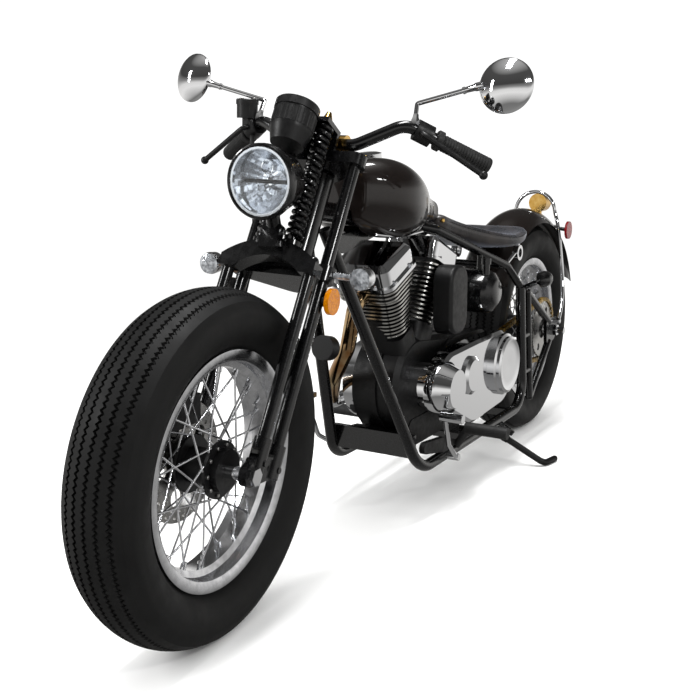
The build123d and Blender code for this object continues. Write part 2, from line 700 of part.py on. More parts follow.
# tank over the spine
tank_sections = [
    # x, middle z, width, height, corner
    (1098, 800, 120, 110, 46),
    (1010, 785, 258, 172, 80),
    (860, 763, 200, 144, 64),
    (672, 734, 68, 58, 24),
]
faces = []
for x, z, width, height, corner in tank_sections:
    faces.append(Plane(origin=(x, 0, z), x_dir=(0, 1, 0), z_dir=(1, 0, 0)) * RectangleRounded(width, height, corner))
tank = loft(faces)
tank = fillet(tank.faces().sort_by(Axis.X)[-1].edges(), 36)
tunnel = rod(fork(0, 0, 110), (640, 0, 687), 27)
tank -= tunnel
for dz in (20, 45, 70):
    tank -= rod((1300, 0, 780 - dz), (640, 0, 687 - dz), 27)
tank -= tank_pin
clear_rail = tube(rail_points, 15, 30)
tank -= clear_rail
tank -= flip(clear_rail)
tank = tank.solids().sort_by(SortBy.VOLUME)[-1]
keep("fuel_tank", tank)
keep("fuel_cap", rod((971, 0, 856), (974, 0, 880), 30) - tank)

# saddle and its springs
seat_sections = [
    # x, middle z, width, height, corner
    (640, 707, 66, 48, 20),
    (520, 668, 128, 52, 22),
    (330, 640, 262, 56, 24),
    (232, 656, 216, 52, 22),
]
faces = []
for x, z, width, height, corner in seat_sections:
    faces.append(Plane(origin=(x, 0, z), x_dir=(0, 1, 0), z_dir=(1, 0, 0)) * RectangleRounded(width, height, corner))
seat = loft(faces)
seat = fillet(seat.faces().sort_by(Axis.X)[-1].edges(), 14)
seat = fillet(seat.faces().sort_by(Axis.X)[0].edges(), 16)
keep("seat", seat)
spring_left = across(262, 594, 88, 104, 22, bore=13)
spring_left += rod((256, 96, 612), (262, 92, 634), 5)
spring_left += rod((281, 96, 596), (372, 104, 573), 5)
spring_left -= seat
spring_left -= rail
spring_left -= seat_cross
spring_left = spring_left.solids().sort_by(SortBy.VOLUME)[-1]
nose_pin = (rod((700, 0, 690), (612, 0, 676), 9) - spine - seat).solids().sort_by(SortBy.VOLUME)[-1]
keep("seat_springs", spring_left, flip(spring_left), nose_pin)

# rear fender, hoop and lamps
fender_r = tyre_radius + fender_rise
fender_edge_r = tyre_radius + fender_drop
outer = ThreePointArc((-fender_half, fender_edge_r), (0, fender_r), (fender_half, fender_edge_r))
inner = ThreePointArc((fender_half - sheet, fender_edge_r), (0, fender_r - sheet), (-fender_half + sheet, fender_edge_r))
ends = [
    Line((fender_half, fender_edge_r), (fender_half - sheet, fender_edge_r)),
    Line((-fender_half + sheet, fender_edge_r), (-fender_half, fender_edge_r)),
]
fender_face = Plane.YZ * make_face(Curve() + [outer, inner] + ends)
fender = revolve(fender_face.rotate(Axis.Y, 90 - fender_from), Axis.Y, revolution_arc=fender_from - fender_to)
fender = Pos(*rear_axle_at) * fender
keep("rear_fender", fender)
seat_cross += rod((370, 0, 569), (306, 0, 527.5), 9) - fender
members.append(seat_cross.solids().sort_by(SortBy.VOLUME)[-1])
keep("frame_crossmembers", *members)

hoop_top = 749
hoop_half = 66
hoop_bolt = (-138, 84, 640)
hoop_foot = (-28, 129, axle_z + 24)
hoop_left = [hoop_foot, (-112, 122, 400), hoop_bolt, (-146, hoop_half, hoop_top)]
hoop = tube(hoop_left + [right(p) for p in reversed(hoop_left)], 6, [40, 60, 44, 44, 60, 40])
for side in (1, -1):
    hoop += across(hoop_foot[0], hoop_foot[2], side * 129 - 6, side * 129 + 6, 9)
    hoop += rod((hoop_bolt[0], side * hoop_bolt[1], hoop_bolt[2]), (hoop_bolt[0], side * 60, hoop_bolt[2]), 5)
hoop -= fender
hoop -= arm_left
hoop -= flip(arm_left)
hoop = hoop.solids().sort_by(SortBy.VOLUME)[-1]
keep("fender_hoop", hoop)

lamp_at = (-185, 0, 712)
tail = rod((lamp_at[0] + 18, 0, lamp_at[2]), (lamp_at[0] - 30, 0, lamp_at[2]), 30)
tail += rod((lamp_at[0], 0, lamp_at[2]), (lamp_at[0] + 10, 0, 640), 10)
tail -= fender
tail = tail.solids().sort_by(SortBy.VOLUME)[-1]
keep("tail_lamp", tail)

rear_signal = bullet(280, 182, 524, -1) + rod((284, rail_y, 494), (282, 182, 524), 7)
rear_signal -= both_cradles
rear_signal -= rail
rear_signal = rear_signal.solids().sort_by(SortBy.VOLUME)[-1]
keep("rear_signals", rear_signal, flip(rear_signal))

rear_reflector = across(-144, 629, 110, 118, 28) + rod((-138, 84, 634), (-143, 112, 630), 6)
rear_reflector -= hoop
rear_reflector = rear_reflector.solids().sort_by(SortBy.VOLUME)[-1]
keep("rear_reflectors", rear_reflector, flip(rear_reflector))

# round oil tank lying across the frame, with its cap
can = turned([(-132, 0), (-132, 30), (-118, 52), (-104, 58), (104, 58), (118, 52), (132, 30), (132, 0)], (500, 0, 512))
for side in (1, -1):
    can += rod((500, side * 79, 560), (500, side * 79, 620), 8) - (rail if side > 0 else flip(rail))
can = can.solids().sort_by(SortBy.VOLUME)[-1]
can += rod((520, 105, 560), (520, 105, 588), 10) + rod((520, 105, 588), (520, 105, 604), 13)
keep("oil_tank", can)

tube_top = Vector(*cradle_points[0])
tube_low = Vector(*cradle_points[1])
horn_z = 446
horn_tube = tube_low + (tube_top - tube_low) * ((horn_z - tube_low.Z) / (tube_top.Z - tube_low.Z))
horn_x, horn_y = horn_tube.X + 14, -horn_tube.Y + 38
horn = rod((horn_x + 8, horn_y, horn_z + 6), (horn_x + 38, horn_y, horn_z + 13), 28)
horn += rod((horn_x, horn_y, horn_z + 5), (horn_x + 9, horn_y, horn_z + 6), 20)
horn += hull_plate(Plane.YZ, [(horn_y, horn_z + 4, 12), (-horn_tube.Y + 2, horn_z, 12)], horn_x - 6, horn_x + 2)
horn -= flip(both_cradles)
keep("horn", horn.solids().sort_by(SortBy.VOLUME)[-1])

# foot controls
peg = across(738, 200, 150, 262, 15) + rod((738, rail_y, rail_z), (738, 158, 200), 10)
peg += side_plate([(738, rail_z + 10, 14), (812, rail_z + 36, 14), (912, rail_z + 48, 14)], 111, 125)
peg -= both_cradles
peg = peg.solids().sort_by(SortBy.VOLUME)[-1]
keep("foot_pegs", peg, flip(peg))
lever_left = across(800, rail_z, rail_y + 5, 160, 9)
lever_left += tube([(800, 152, rail_z), (860, 158, 190), (945, 186, 284)], 6, 30)
lever_left += across(945, 284, 176, 232, 11)
lever_left -= both_cradles
keep("shift_lever", lever_left.solids().sort_by(SortBy.VOLUME)[-1])
pedal = across(860, rail_z, -165, -rail_y - 5, 9)
pedal += tube([(860, -157, rail_z), (945, -160, 190), (985, -172, 300)], 6, 30)
pedal += block((965, -208, 294), (1012, -150, 306))
pedal -= flip(both_cradles)
keep("brake_pedal", pedal.solids().sort_by(SortBy.VOLUME)[-1])

# chain: link plates either side of rollers, round both sprockets
def loop(grow):
    return [
        (0, axle_z, rear_sprocket_r + 3.5 + grow),
        (front_sprocket_x, clutch_z, front_sprocket_r + 3.5 + grow),
    ]


chain_parts = []
for low, high in ((5, 7.5), (-7.5, -5)):
    band = side_plate(loop(7), chain_y + low, chain_y + high) - side_plate(loop(-7), chain_y + low, chain_y + high)
    chain_parts.append(band)
chain = chain_parts[0]
chain += chain_parts[1]
path_edges = []
for x, z, r in loop(0):
    path_edges += (Pos(x, z) * Circle(r)).edges()
pitch_line = make_hull(path_edges).face().outer_wire()
roller_count = 44
rollers = []
for i in range(roller_count):
    p = pitch_line @ (i / roller_count)
    rollers.append(across(p.X, p.Y, chain_y - 7, chain_y + 7, roller_r))
chain += rollers
keep("drive_chain", chain)

# park it: floor under the tyres and foot, middle of the outline over the origin
low = [1e9] * 3
high = [-1e9] * 3
for solids in nodes.values():
    for solid in solids:
        box = solid.bounding_box()
        for i, (a, b) in enumerate(zip(tuple(box.min), tuple(box.max))):
            low[i] = min(low[i], a)
            high[i] = max(high[i], b)
shift = Location((-(low[0] + high[0]) / 2, -(low[1] + high[1]) / 2, -low[2]))
os.makedirs("parts", exist_ok=True)
for name, solids in nodes.items():
    placed = [solid.moved(shift) for solid in solids]
    export_step(placed[0] if len(placed) == 1 else Compound(placed), f"parts/{name}.step")

# joint frames for the record, in metres
def parked_dir(d):
    a = Vector(*d).normalized().rotate(Axis.X, -lean)
    return [round(v, 6) for v in (a.X, a.Y, a.Z)]


def parked(point):
    p = Vector(*point).rotate(Axis.X, -lean) + Vector(*shift.position)
    return [round(v / 1000, 5) for v in (p.X, p.Y, p.Z)]


spin_dir = Vector(0, 1, 0).rotate(Axis((0, 0, 0), steer_dir), parked_steer)
spin_arm = Vector(*front_axle_at) - Vector(head_x, 0, head_z)
spin_at = spin_arm.rotate(Axis((0, 0, 0), steer_dir), parked_steer) + Vector(head_x, 0, head_z)
bar_at = (Vector(bar_mid[0], 0, bar_mid[2]) - Vector(head_x, 0, head_z)).rotate(
    Axis((0, 0, 0), steer_dir), parked_steer
) + Vector(head_x, 0, head_z)
print("bar_middle", parked(tuple(bar_at)), parked_dir(tuple(spin_dir)))
print("axle_end", parked((0, 149, axle_z)), parked_dir((0, 1, 0)))
print("steering", parked((head_x, 0, head_z)), parked_dir(steer_dir))
print("front_wheel", parked(tuple(spin_at)), parked_dir(tuple(spin_dir)))
print("rear_wheel", parked(rear_axle_at), parked_dir((0, 1, 0)))
print("side_stand", parked(stand_pivot), parked_dir(stand_axis))
print("shift", tuple(shift.position), "box", [round(v, 1) for v in low], [round(v, 1) for v in high])
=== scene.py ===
"""Parked springer-fork cruiser: finishes and fine pieces over its solid parts.

Sizes are in mm, in frames that are read from the joints: the bike (x forward from the rear axle,
y to the rider's left, z up), the steered fork (x ahead of the steering axis, z up it) and each
wheel (y along its axle). Their matrices lead to the scene, which is in metres.
"""
import json
import math

import bmesh
import bpy
import numpy as np
from bpy.props import FloatProperty, FloatVectorProperty, IntProperty, PointerProperty
from mathutils import Matrix, Vector


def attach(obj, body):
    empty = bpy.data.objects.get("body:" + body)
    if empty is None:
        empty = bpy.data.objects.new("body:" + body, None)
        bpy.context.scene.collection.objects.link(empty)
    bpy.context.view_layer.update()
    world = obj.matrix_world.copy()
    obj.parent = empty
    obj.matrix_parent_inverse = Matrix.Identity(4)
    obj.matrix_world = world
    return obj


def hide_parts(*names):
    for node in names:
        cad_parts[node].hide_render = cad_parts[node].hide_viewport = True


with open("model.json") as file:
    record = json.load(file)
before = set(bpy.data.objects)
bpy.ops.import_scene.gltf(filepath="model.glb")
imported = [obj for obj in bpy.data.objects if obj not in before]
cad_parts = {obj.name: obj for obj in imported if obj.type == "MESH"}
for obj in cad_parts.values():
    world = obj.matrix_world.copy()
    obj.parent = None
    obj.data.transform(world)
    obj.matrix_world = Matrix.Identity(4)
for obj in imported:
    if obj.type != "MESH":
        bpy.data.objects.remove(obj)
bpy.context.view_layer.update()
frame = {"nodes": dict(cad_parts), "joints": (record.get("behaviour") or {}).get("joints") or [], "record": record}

bl_info = {
    "name": "Springer Cruiser Looks",
    "version": (1, 0, 0),
    "blender": (4, 5, 0),
    "location": "View3D > Sidebar > Cruiser",
    "description": "Finishes and fine pieces of a parked springer-fork cruiser",
    "category": "Object",
}

MM = 0.001
METRES = Matrix.Scale(1 / MM, 4)
SIDES = ((1, "left"), (-1, "right"))

# wheels; the tyre's places are (y, r)
AXLE_Z = 328
TYRE_RADIUS = 328
SHOULDER = (61, 308)
BELLY = (67, 262)
BEAD = (41.5, 222)
SEAT_R = 205.5
GROOVES_Y = (-42, -21, 0, 21, 42)
# section of a groove: shares of its width and of its depth
GROOVE = ((-0.5, 0), (-0.28, 1), (0.28, 1), (0.5, 0))
ZIG = 2.8
SPOKES = 40
NIPPLE_R = 187
NIPPLE_Y = 6
HUB_BOLTS = 10
HUB_BOLT_R = 46
HUB_BOLT_Y = 34

# fork, lamps and bar, in the fork frame
SPRING_U = 98
SPRING_Y = 32
SPRING_R = 18.5
SPRING_LOW = -5.5
SPRING_TOP = 249.5
LAMP_AT = Vector((217, 0, 60))
LAMP_WAY = Vector((0.866, 0, -0.5))
UP_WAY = Vector((0.5, 0, 0.866))
LENS_R = 60
# least cosine between a signal's way and its lens; how far out a reflector's lens starts
LENS_FACING = 0.6
FRONT_REFLECTOR_Y = 112
LAMP_FOOT_X = 126
LAMP_FOOT_Z = (-22, 2)
BAR_TOP = Vector((25, 168, 302))
BAR_END = Vector((-97, 313, 283))
BAR_R = 12.8
STALK_WIRE = 5
STALK_KNEE = (22, 180, 352)
STALK_END = (37, 330, 384)
# side, name, middle as if on the left, degrees that it is turned out
MIRRORS = ((1, "mirror_left", (34, 363, 388), 0), (-1, "mirror_right", (36, 370, 396), 16))
SPEEDO_U = 156
SPEEDO_Y = -6
SPEEDO_TOP = 258

# engine, body and drive, in the bike frame
CRANK = Vector((830, 0, 322))
V_HALF = 22.5
COVER_START = 302
# fins on a head: heights, sizes, and the share by which each is larger than the one below
HEAD_FINS = (268, 279, 290)
FIN_SIZES = {"Width": 137, "Length": 150, "Corner": 30, "Thickness": 4}
FIN_GROWTH = 0.024
# a rocker cover's bolts in one quarter, from its middle
COVER_BOLTS = ((76, 40), (42, 79))
HEADER_X = 930
# name, end of the muffler, way out of it
MUFFLERS = (("low", (-200, -182, 236), (-530, -4, -14)), ("high", (-200, -192, 334), (-530, -10, -6)))
CAP_AT = (971, 0, 856)
TRIM_LINE = ((1052, 64, 707), (1010, 72, 700), (930, 66, 694), (860, 60, 693), (800, 52, 694))
TRIM_WIRE = 3
TAIL_LENS_X = -214
REAR_REFLECTOR_Y = 111
HOOP_FOOT = (-28, 129, AXLE_Z + 24)
HOOP_KNEE = (-112, 122, 400)
HOOP_BOLT = (-138, 84, 640)
HOOP_TOP = (-146, 0, 683)
HOOP_R = 67
HOOP_WIRE = 6
HOOP_PIN_Y = 60
CHAIN_Y = 85
# a plate's height, widths of narrow and wide links, a roller's radius, thickness of a plate
CHAIN_SIZES = {"Plate": 13, "Inner": 9, "Outer": 13, "Roller": 4.6, "Sheet": 1.8}
# x, z, radius of the chain line
REAR_SPROCKET = (0, 328, 93.5)
FRONT_SPROCKET = (480, 312, 48.5)

# saddle sections: x, middle z, half width, half height
SADDLE = ((640, 707, 33, 24), (520, 668, 64, 26), (330, 640, 131, 28), (232, 656, 108, 26))
SADDLE_BUTTONS = ((318, 0), (372, 48), (372, -48))
SADDLE_BOLT = (636, 28, 709)
# depth, middle and length of the dish and of the hollow in the top edge
SADDLE_DISH = (10, 350, 110)
SADDLE_SAG = (10, 335, 85)
# how square a section is, and the shares of its half width and half height where rim and seams lie
SADDLE_SQUARE = 0.6
SADDLE_RIM = 0.86
SADDLE_SEAMS = (0.52, 0.3)
# depth and reach of the dents at a button and along a crease
BUTTON_DENT = (5, 13)
CREASE_DENT = (2, 5)
SADDLE_LONG = 72
SADDLE_ROUND = 96

# small heads on points: body, slot, finish, radius, height, sides
HEADS = {
    "front_nipples": ("front_wheel", "chrome", "chrome", 3.4, 12, 8),
    "rear_nipples": ("rear_wheel", "chrome", "chrome", 3.4, 12, 8),
    "front_hub_bolts": ("front_wheel", "steel", "steel", 4, 3.5, 6),
    "rear_hub_bolts": ("rear_wheel", "steel", "steel", 4, 3.5, 6),
    "lamp_foot_nuts": ("steering", "chrome", "chrome", 6.5, 6, 6),
    "speedometer_ticks": ("steering", "lens_glass", "tick", 1.0, 0.3, 4),
    "fluid_pot_screws": ("steering", "steel", "steel", 3, 1.4, 10),
    "rocker_cover_bolts": ("chassis", "chrome", "chrome", 3.4, 5, 6),
    "fuel_cap_knurl": ("chassis", "chrome", "chrome", 2, 1.6, 4),
    "fender_hoop_feet": ("chassis", "chrome", "chrome", 9, 12, 24),
    "fender_hoop_pins": ("chassis", "chrome", "chrome", 5, 24, 20),
    "saddle_stitches": ("chassis", "leather", "dial", 0.9, 3.4, 6),
    "saddle_buttons": ("chassis", "chrome", "chrome", 4.6, 1.6, 16),
    "saddle_nose_bolts": ("chassis", "brass", "brass", 6, 5, 6),
}

# the photograph's viewpoint in the bike frame, in mm and degrees
CAMERA_AT = (2920.4, 1083.9, 895.8)
CAMERA_YAW = 30.22
CAMERA_PITCH = 11.85
CAMERA_ROLL = -0.25
CAMERA_LENS = 49.9

# studio, in metres and watts
FLOOR_REACH = 30
STUDIO_WHITE = 1.12
# name, place, aim, width, height, watts
SOFTBOXES = (
    ("side_softbox", (2.4, -2.2, 2.2), (0.3, 0, 0.6), 0.3, 1.6, 45),
    ("top_softbox", (0.2, 0.3, 3.4), (0.2, 0, 0.4), 1.8, 0.45, 90),
    ("near_softbox", (1.6, 3.2, 2.4), (0, 0, 0.6), 0.9, 0.3, 36),
)
# height of a direction from straight down, 0, to straight up, 1, and the grey that chrome sees there
ROOM_GREYS = (
    (0.0, 0.3), (0.24, 0.2), (0.34, 0.6), (0.46, 0.95), (0.54, 0.85), (0.6, 0.3), (0.68, 0.06), (0.88, 0.08),
    (1.0, 0.5),
)


def srgb(text):
    """Linear colour from a hex value."""
    channels = [int(text[i:i + 2], 16) / 255 for i in (1, 3, 5)]
    return tuple(c / 12.92 if c <= 0.04045 else ((c + 0.055) / 1.055) ** 2.4 for c in channels)


def joint(name):
    """Place and direction of a joint."""
    found = next(j for j in frame["joints"] if j["name"] == name)
    return Vector(found["pos_m"]), Vector(found["axis"]).normalized()


def frame_matrix(origin, x, y, z):
    """Matrix from millimetres in a local frame to the scene."""
    axes = Matrix((x, y, z)).transposed().to_4x4()
    return Matrix.Translation(origin) @ axes @ Matrix.Scale(MM, 4)


rear_at, rear_axis = joint("rear_wheel_spin")
front_at, front_axis = joint("front_wheel_spin")
steer_at, steer_axis = joint("steering")
bike_x = Vector((1, 0, 0))
bike_z = bike_x.cross(rear_axis)
BIKE = frame_matrix(rear_at - bike_z * AXLE_Z * MM, bike_x, rear_axis, bike_z)
FORK = frame_matrix(steer_at, front_axis.cross(steer_axis), front_axis, steer_axis)
front_x = front_axis.cross(Vector((0, 0, 1))).normalized()
FRONT_WHEEL = frame_matrix(front_at, front_x, front_axis, front_x.cross(front_axis))
REAR_WHEEL = frame_matrix(rear_at, bike_x, rear_axis, bike_z)


class CruiserFinish(bpy.types.PropertyGroup):
    """Colours of the paint and trim."""

    tank: FloatVectorProperty(
        name="Tank lacquer", description="Deep brown-black lacquer of tank and fender",
        subtype="COLOR", size=3, default=srgb("#120d0b"), min=0, max=1,
    )
    enamel: FloatVectorProperty(
        name="Frame enamel", description="Gloss black enamel of frame and fork",
        subtype="COLOR", size=3, default=srgb("#050506"), min=0, max=1,
    )
    leather: FloatVectorProperty(
        name="Saddle leather", description="Black leather of the saddle",
        subtype="COLOR", size=3, default=srgb("#100f0f"), min=0, max=1,
    )
    floor: FloatVectorProperty(
        name="Floor", description="Pale studio floor",
        subtype="COLOR", size=3, default=srgb("#fbfbfa"), min=0, max=1,
    )


class CruiserSizes(bpy.types.PropertyGroup):
    """Sizes of the fine pieces."""

    groove_depth: FloatProperty(
        name="Groove depth", description="Depth of the zig-zag tread grooves",
        subtype="DISTANCE", unit="LENGTH", default=5 * MM,
    )
    groove_width: FloatProperty(
        name="Groove width", description="Width of a tread groove",
        subtype="DISTANCE", unit="LENGTH", default=6.4 * MM,
    )
    tooth_count: IntProperty(
        name="Teeth", description="Zig-zags round one tyre", default=180, min=20,
    )
    coil_wire: FloatProperty(
        name="Spring wire", description="Wire radius of the fork springs",
        subtype="DISTANCE", unit="LENGTH", default=5.1 * MM,
    )
    coil_turns: FloatProperty(
        name="Spring turns", description="Turns of one fork spring", default=18.0,
    )
    link_count: IntProperty(
        name="Chain links", description="Links in the drive chain", default=88, min=20,
    )


def size_props():
    return bpy.context.scene.cruiser_sizes


def add(tree, kind, inputs=None, **settings):
    """New node with its settings; an input takes a value, or the node, socket or list that feeds it."""
    made = tree.nodes.new(kind)
    for name, value in settings.items():
        setattr(made, name, value)
    for name, value in (inputs or {}).items():
        for source in value if isinstance(value, list) else [value]:
            if isinstance(source, bpy.types.Node):
                source = source.outputs[0]
            if isinstance(source, bpy.types.NodeSocket):
                tree.links.new(source, made.inputs[name])
            else:
                made.inputs[name].default_value = source
    return made


CLOUDS = "ShaderNodeTexNoise"
PEBBLES = "ShaderNodeTexVoronoi"
METAL = {"Metallic": 1.0}

# Short name: material and how its surface was made, colour as hex or property, grain in mm, roughness
# from and to, second colour as hex or as a multiple of the first, relief (pattern, its size and depth
# in mm, strength), other values. The comment says what it gives the eye.
MATERIALS = {
    # dull black with a faint dusty bloom
    "tyre": (
        "rubber_vulcanised_moulded", "#070707", 40, (0.5, 0.66), "#0e0e0e", (CLOUDS, 1.5, 0.3, 0.25),
        {"Specular IOR Level": 0.22},
    ),
    # mirror bright over steel, with the faint waves that buffing leaves
    "chrome": ("chrome_plate_buffed", "#e4e5e7", 30, (0.03, 0.08), None, (CLOUDS, 45, 0.35, 0.2), METAL),
    # rims and spokes dulled by road dust: bright with softer edges
    "spoke": ("chrome_plate_dusty", "#dcdde0", 18, (0.12, 0.24), "#c4c5c8", None, METAL),
    # deep black on tube, with a soft orange peel
    "enamel": (
        "enamel_baked_gloss", "enamel", 14, (0.2, 0.32), None, (CLOUDS, 6, 0.1, 0.1),
        {"Specular IOR Level": 0.2, "Coat Weight": 0.7, "Coat Roughness": 0.04},
    ),
    # black with softly broken highlights
    "satin": (
        "powder_coat_satin", "#09090a", 8, (0.34, 0.5), None, (CLOUDS, 2.5, 0.12, 0.2),
        {"Specular IOR Level": 0.35},
    ),
    # deep gloss over a dark pearl base that lifts to brown in the light
    "tank": (
        "lacquer_pearl_polished", "tank", 1.4, (0.34, 0.44), 1.5, None,
        {"Metallic": 0.1, "Specular IOR Level": 0.1, "Coat Weight": 0.8, "Coat Roughness": 0.02},
    ),
    # fine pebbled black on cast alloy
    "wrinkle": (
        "wrinkle_paint_cast", "#070708", 12, (0.4, 0.54), None, (PEBBLES, 2.2, 0.4, 0.45),
        {"Specular IOR Level": 0.35},
    ),
    # bright edges with fine tool lines
    "alloy": ("aluminium_milled_edge", "#d6d5d1", 4, (0.14, 0.26), "#c2c1bc", (CLOUDS, 3, 0.08, 0.2), METAL),
    # grey with a turned grain, for discs and sprocket
    "steel": ("steel_stainless_ground", "#a3a2a0", 3, (0.24, 0.4), "#b9b8b5", (CLOUDS, 2, 0.05, 0.3), METAL),
    # warm plates with dark oil in the gaps
    "chain": ("steel_plated_gold_tumbled", "#6e5a2e", 14, (0.22, 0.42), "#c2a052", None, METAL),
    # warm yellow with a slight tarnish
    "brass": ("brass_turned_polished", "#c09340", 18, (0.1, 0.22), "#e3bd74", None, METAL),
    # soft matt black with a fine stipple
    "grip": ("rubber_grip_moulded", "#111111", 10, (0.5, 0.7), None, (CLOUDS, 1.4, 0.3, 0.4)),
    # black with a pebble grain, brown patches spread at random that are a painted warm reflection,
    # and a soft sheen; the grain of 2.6 mm is about twice the real size so that it shows
    "leather": (
        "leather_dyed_grain", "leather", 45, (0.24, 0.4), "#2c2623", (PEBBLES, 2.6, 0.5, 0.3),
        {
            "Specular IOR Level": 0.6, "Sheen Weight": 0.35, "Sheen Roughness": 0.4,
            "Sheen Tint": (*srgb("#b8bfd0"), 1),
        },
    ),
    # clean, with the slight wave of its mould
    "glass": (
        "glass_pressed_clear", "#f7fafc", 30, (0.01, 0.03), None, (CLOUDS, 30, 0.3, 0.08),
        {"IOR": 1.45, "Transmission Weight": 1.0},
    ),
    # cool bright silver of a reflector bowl
    "silver": ("reflector_aluminised", "#f2f5fa", 12, (0.05, 0.14), None, None, {"Metallic": 0.8}),
    # pale silver broken up by the prisms of a signal's lens
    "clear": (
        "acrylic_clear_prism", "#c9cdd2", 9, (0.08, 0.2), "#5d6064", (PEBBLES, 5, 1.0, 0.7),
        {"Metallic": 0.6, "Coat Weight": 1.0},
    ),
    # glowing orange over a grid of prisms
    "amber": (
        "acrylic_amber_prism", "#bf7600", 6, (0.15, 0.3), "#945200", (PEBBLES, 4, 1.0, 0.6),
        {"Specular IOR Level": 0.2, "Coat Weight": 0.3, "Coat Roughness": 0.03},
    ),
    # deep red over a grid of prisms
    "red": (
        "acrylic_red_prism", "#7c0f13", 6, (0.15, 0.3), "#540a0d", (PEBBLES, 4, 1.0, 0.6),
        {"Specular IOR Level": 0.2, "Coat Weight": 0.5, "Coat Roughness": 0.03},
    ),
    # as bright as it gets, with no grain
    "mirror": ("glass_silvered", "#f4f6f7", 60, (0.005, 0.02), None, None, METAL),
    # header pipe bronzed by heat near the port: gold in patches
    "header": ("chrome_plate_heat_tinted", "#8a5a2a", 60, (0.06, 0.16), "#c9b48e", None, METAL),
    # satin black of a printed dial
    "dial": ("print_dial_satin", "#0c0c0d", 6, (0.45, 0.55)),
    # dull white of printed ticks
    "tick": ("print_tick_white", "#e8e8e2", 3, (0.5, 0.6)),
    # flat white of a studio roll
    "paper": ("paper_studio_matt", "floor", 300, (0.85, 0.95), None, None, {"Specular IOR Level": 0.0}),
}
made_finishes = {}


def surface(name, colour, grain_mm, rough, tint=None, relief=None, sockets=None):
    """Material from a row of the table, whose roughness wanders with its grain."""
    made = bpy.data.materials.new(name)
    made.use_nodes = True
    tree = made.node_tree
    shader = tree.nodes["Principled BSDF"]
    props = bpy.context.scene.cruiser_finish
    base = srgb(colour) if colour.startswith("#") else tuple(getattr(props, colour))
    shader.inputs["Base Color"].default_value = (*base, 1)
    for socket, value in (sockets or {}).items():
        shader.inputs[socket].default_value = value
    place = add(tree, "ShaderNodeTexCoord").outputs["Object"]
    cloud = add(tree, CLOUDS, {"Vector": place, "Scale": 1 / (grain_mm * MM), "Detail": 3.0})
    part = {"Value": cloud.outputs["Fac"], "From Min": 0.3, "From Max": 0.7}
    wander = add(tree, "ShaderNodeMapRange", {**part, "To Min": rough[0], "To Max": rough[1]})
    tree.links.new(wander.outputs["Result"], shader.inputs["Roughness"])
    if tint:
        second = srgb(tint) if isinstance(tint, str) else [c * tint for c in base]
        share = add(tree, "ShaderNodeMapRange", part)
        ends = {0: share.outputs["Result"], 6: (*base, 1), 7: (*second, 1)}
        mix = add(tree, "ShaderNodeMix", ends, data_type="RGBA")
        tree.links.new(mix.outputs[2], shader.inputs["Base Color"])
    if relief:
        kind, size_mm, depth_mm, strength = relief
        grain = add(tree, kind, {"Vector": place, "Scale": 1 / (size_mm * MM)})
        bump = add(tree, "ShaderNodeBump", {"Height": grain, "Distance": depth_mm * MM, "Strength": strength})
        tree.links.new(bump.outputs["Normal"], shader.inputs["Normal"])
    return made


def finish(name):
    """Material by its short name, made once."""
    if name not in made_finishes:
        made_finishes[name] = surface(*MATERIALS[name])
    return made_finishes[name]


def settle(piece, body, slot, *nodes):
    """Put a piece on its body and hide the solids that it stands for; its slot is not used."""
    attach(piece, body)
    if nodes:
        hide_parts(*nodes)
    return piece


def left_only(side, node):
    """The node that a pair of pieces stands for, given with the left one."""
    return (node,) if side > 0 else ()


def link_object(name, data):
    piece = bpy.data.objects.new(name, data)
    bpy.context.scene.collection.objects.link(piece)
    return piece


def soften(mesh, crease):
    """Smooth shading, but for edges sharper than crease degrees."""
    mesh.shade_smooth()
    mesh.set_sharp_from_angle(angle=math.radians(crease))


def dress(node, *finishes, crease=34, pick=None):
    """Smooth copy of a solid in its finish; pick gives a face's finish number from middle and normal."""
    shape = bmesh.new()
    shape.from_mesh(frame["nodes"][node].data)
    bmesh.ops.remove_doubles(shape, verts=shape.verts, dist=0.01 * MM)
    mesh = bpy.data.meshes.new(node + "_dressed")
    shape.to_mesh(mesh)
    shape.free()
    if "custom_normal" in mesh.attributes:
        mesh.attributes.remove(mesh.attributes["custom_normal"])
    mesh.materials.clear()
    for name in finishes:
        mesh.materials.append(finish(name))
    soften(mesh, crease)
    for face in mesh.polygons:
        face.material_index = pick(face.center, face.normal) if pick else 0
    record = frame["record"]
    body = next(body for body, nodes in record["behaviour"]["bodies"].items() if node in nodes)
    slot = next(s["material_slot"] for s in record["subparts"] if s["node"] == node)
    return settle(link_object(node + "_dressed", mesh), body, slot, node)


def shell(name, rings, material, closed_along=False, crease=40):
    """Skin over closed rings of points; rings are equally long lists."""
    count = len(rings[0])
    faces = []
    for i in range(len(rings) if closed_along else len(rings) - 1):
        for k in range(count):
            j, n = (i + 1) % len(rings), (k + 1) % count
            faces.append((i * count + k, i * count + n, j * count + n, j * count + k))
    mesh = bpy.data.meshes.new(name)
    mesh.from_pydata([p for ring in rings for p in ring], [], faces)
    shape = bmesh.new()
    shape.from_mesh(mesh)
    bmesh.ops.remove_doubles(shape, verts=shape.verts, dist=0.002 * MM)
    bmesh.ops.delete(shape, geom=[e for e in shape.edges if not e.link_faces], context="EDGES")
    bmesh.ops.holes_fill(shape, edges=[e for e in shape.edges if e.is_boundary])
    bmesh.ops.recalc_face_normals(shape, faces=shape.faces)
    shape.to_mesh(mesh)
    shape.free()
    mesh.materials.append(finish(material))
    soften(mesh, crease)
    return link_object(name, mesh)


def swung(place, profile, angle):
    """Points of a (y, r) profile at an angle about local y."""
    return [place @ Vector((r * math.cos(angle), y, r * math.sin(angle))) for y, r in profile]


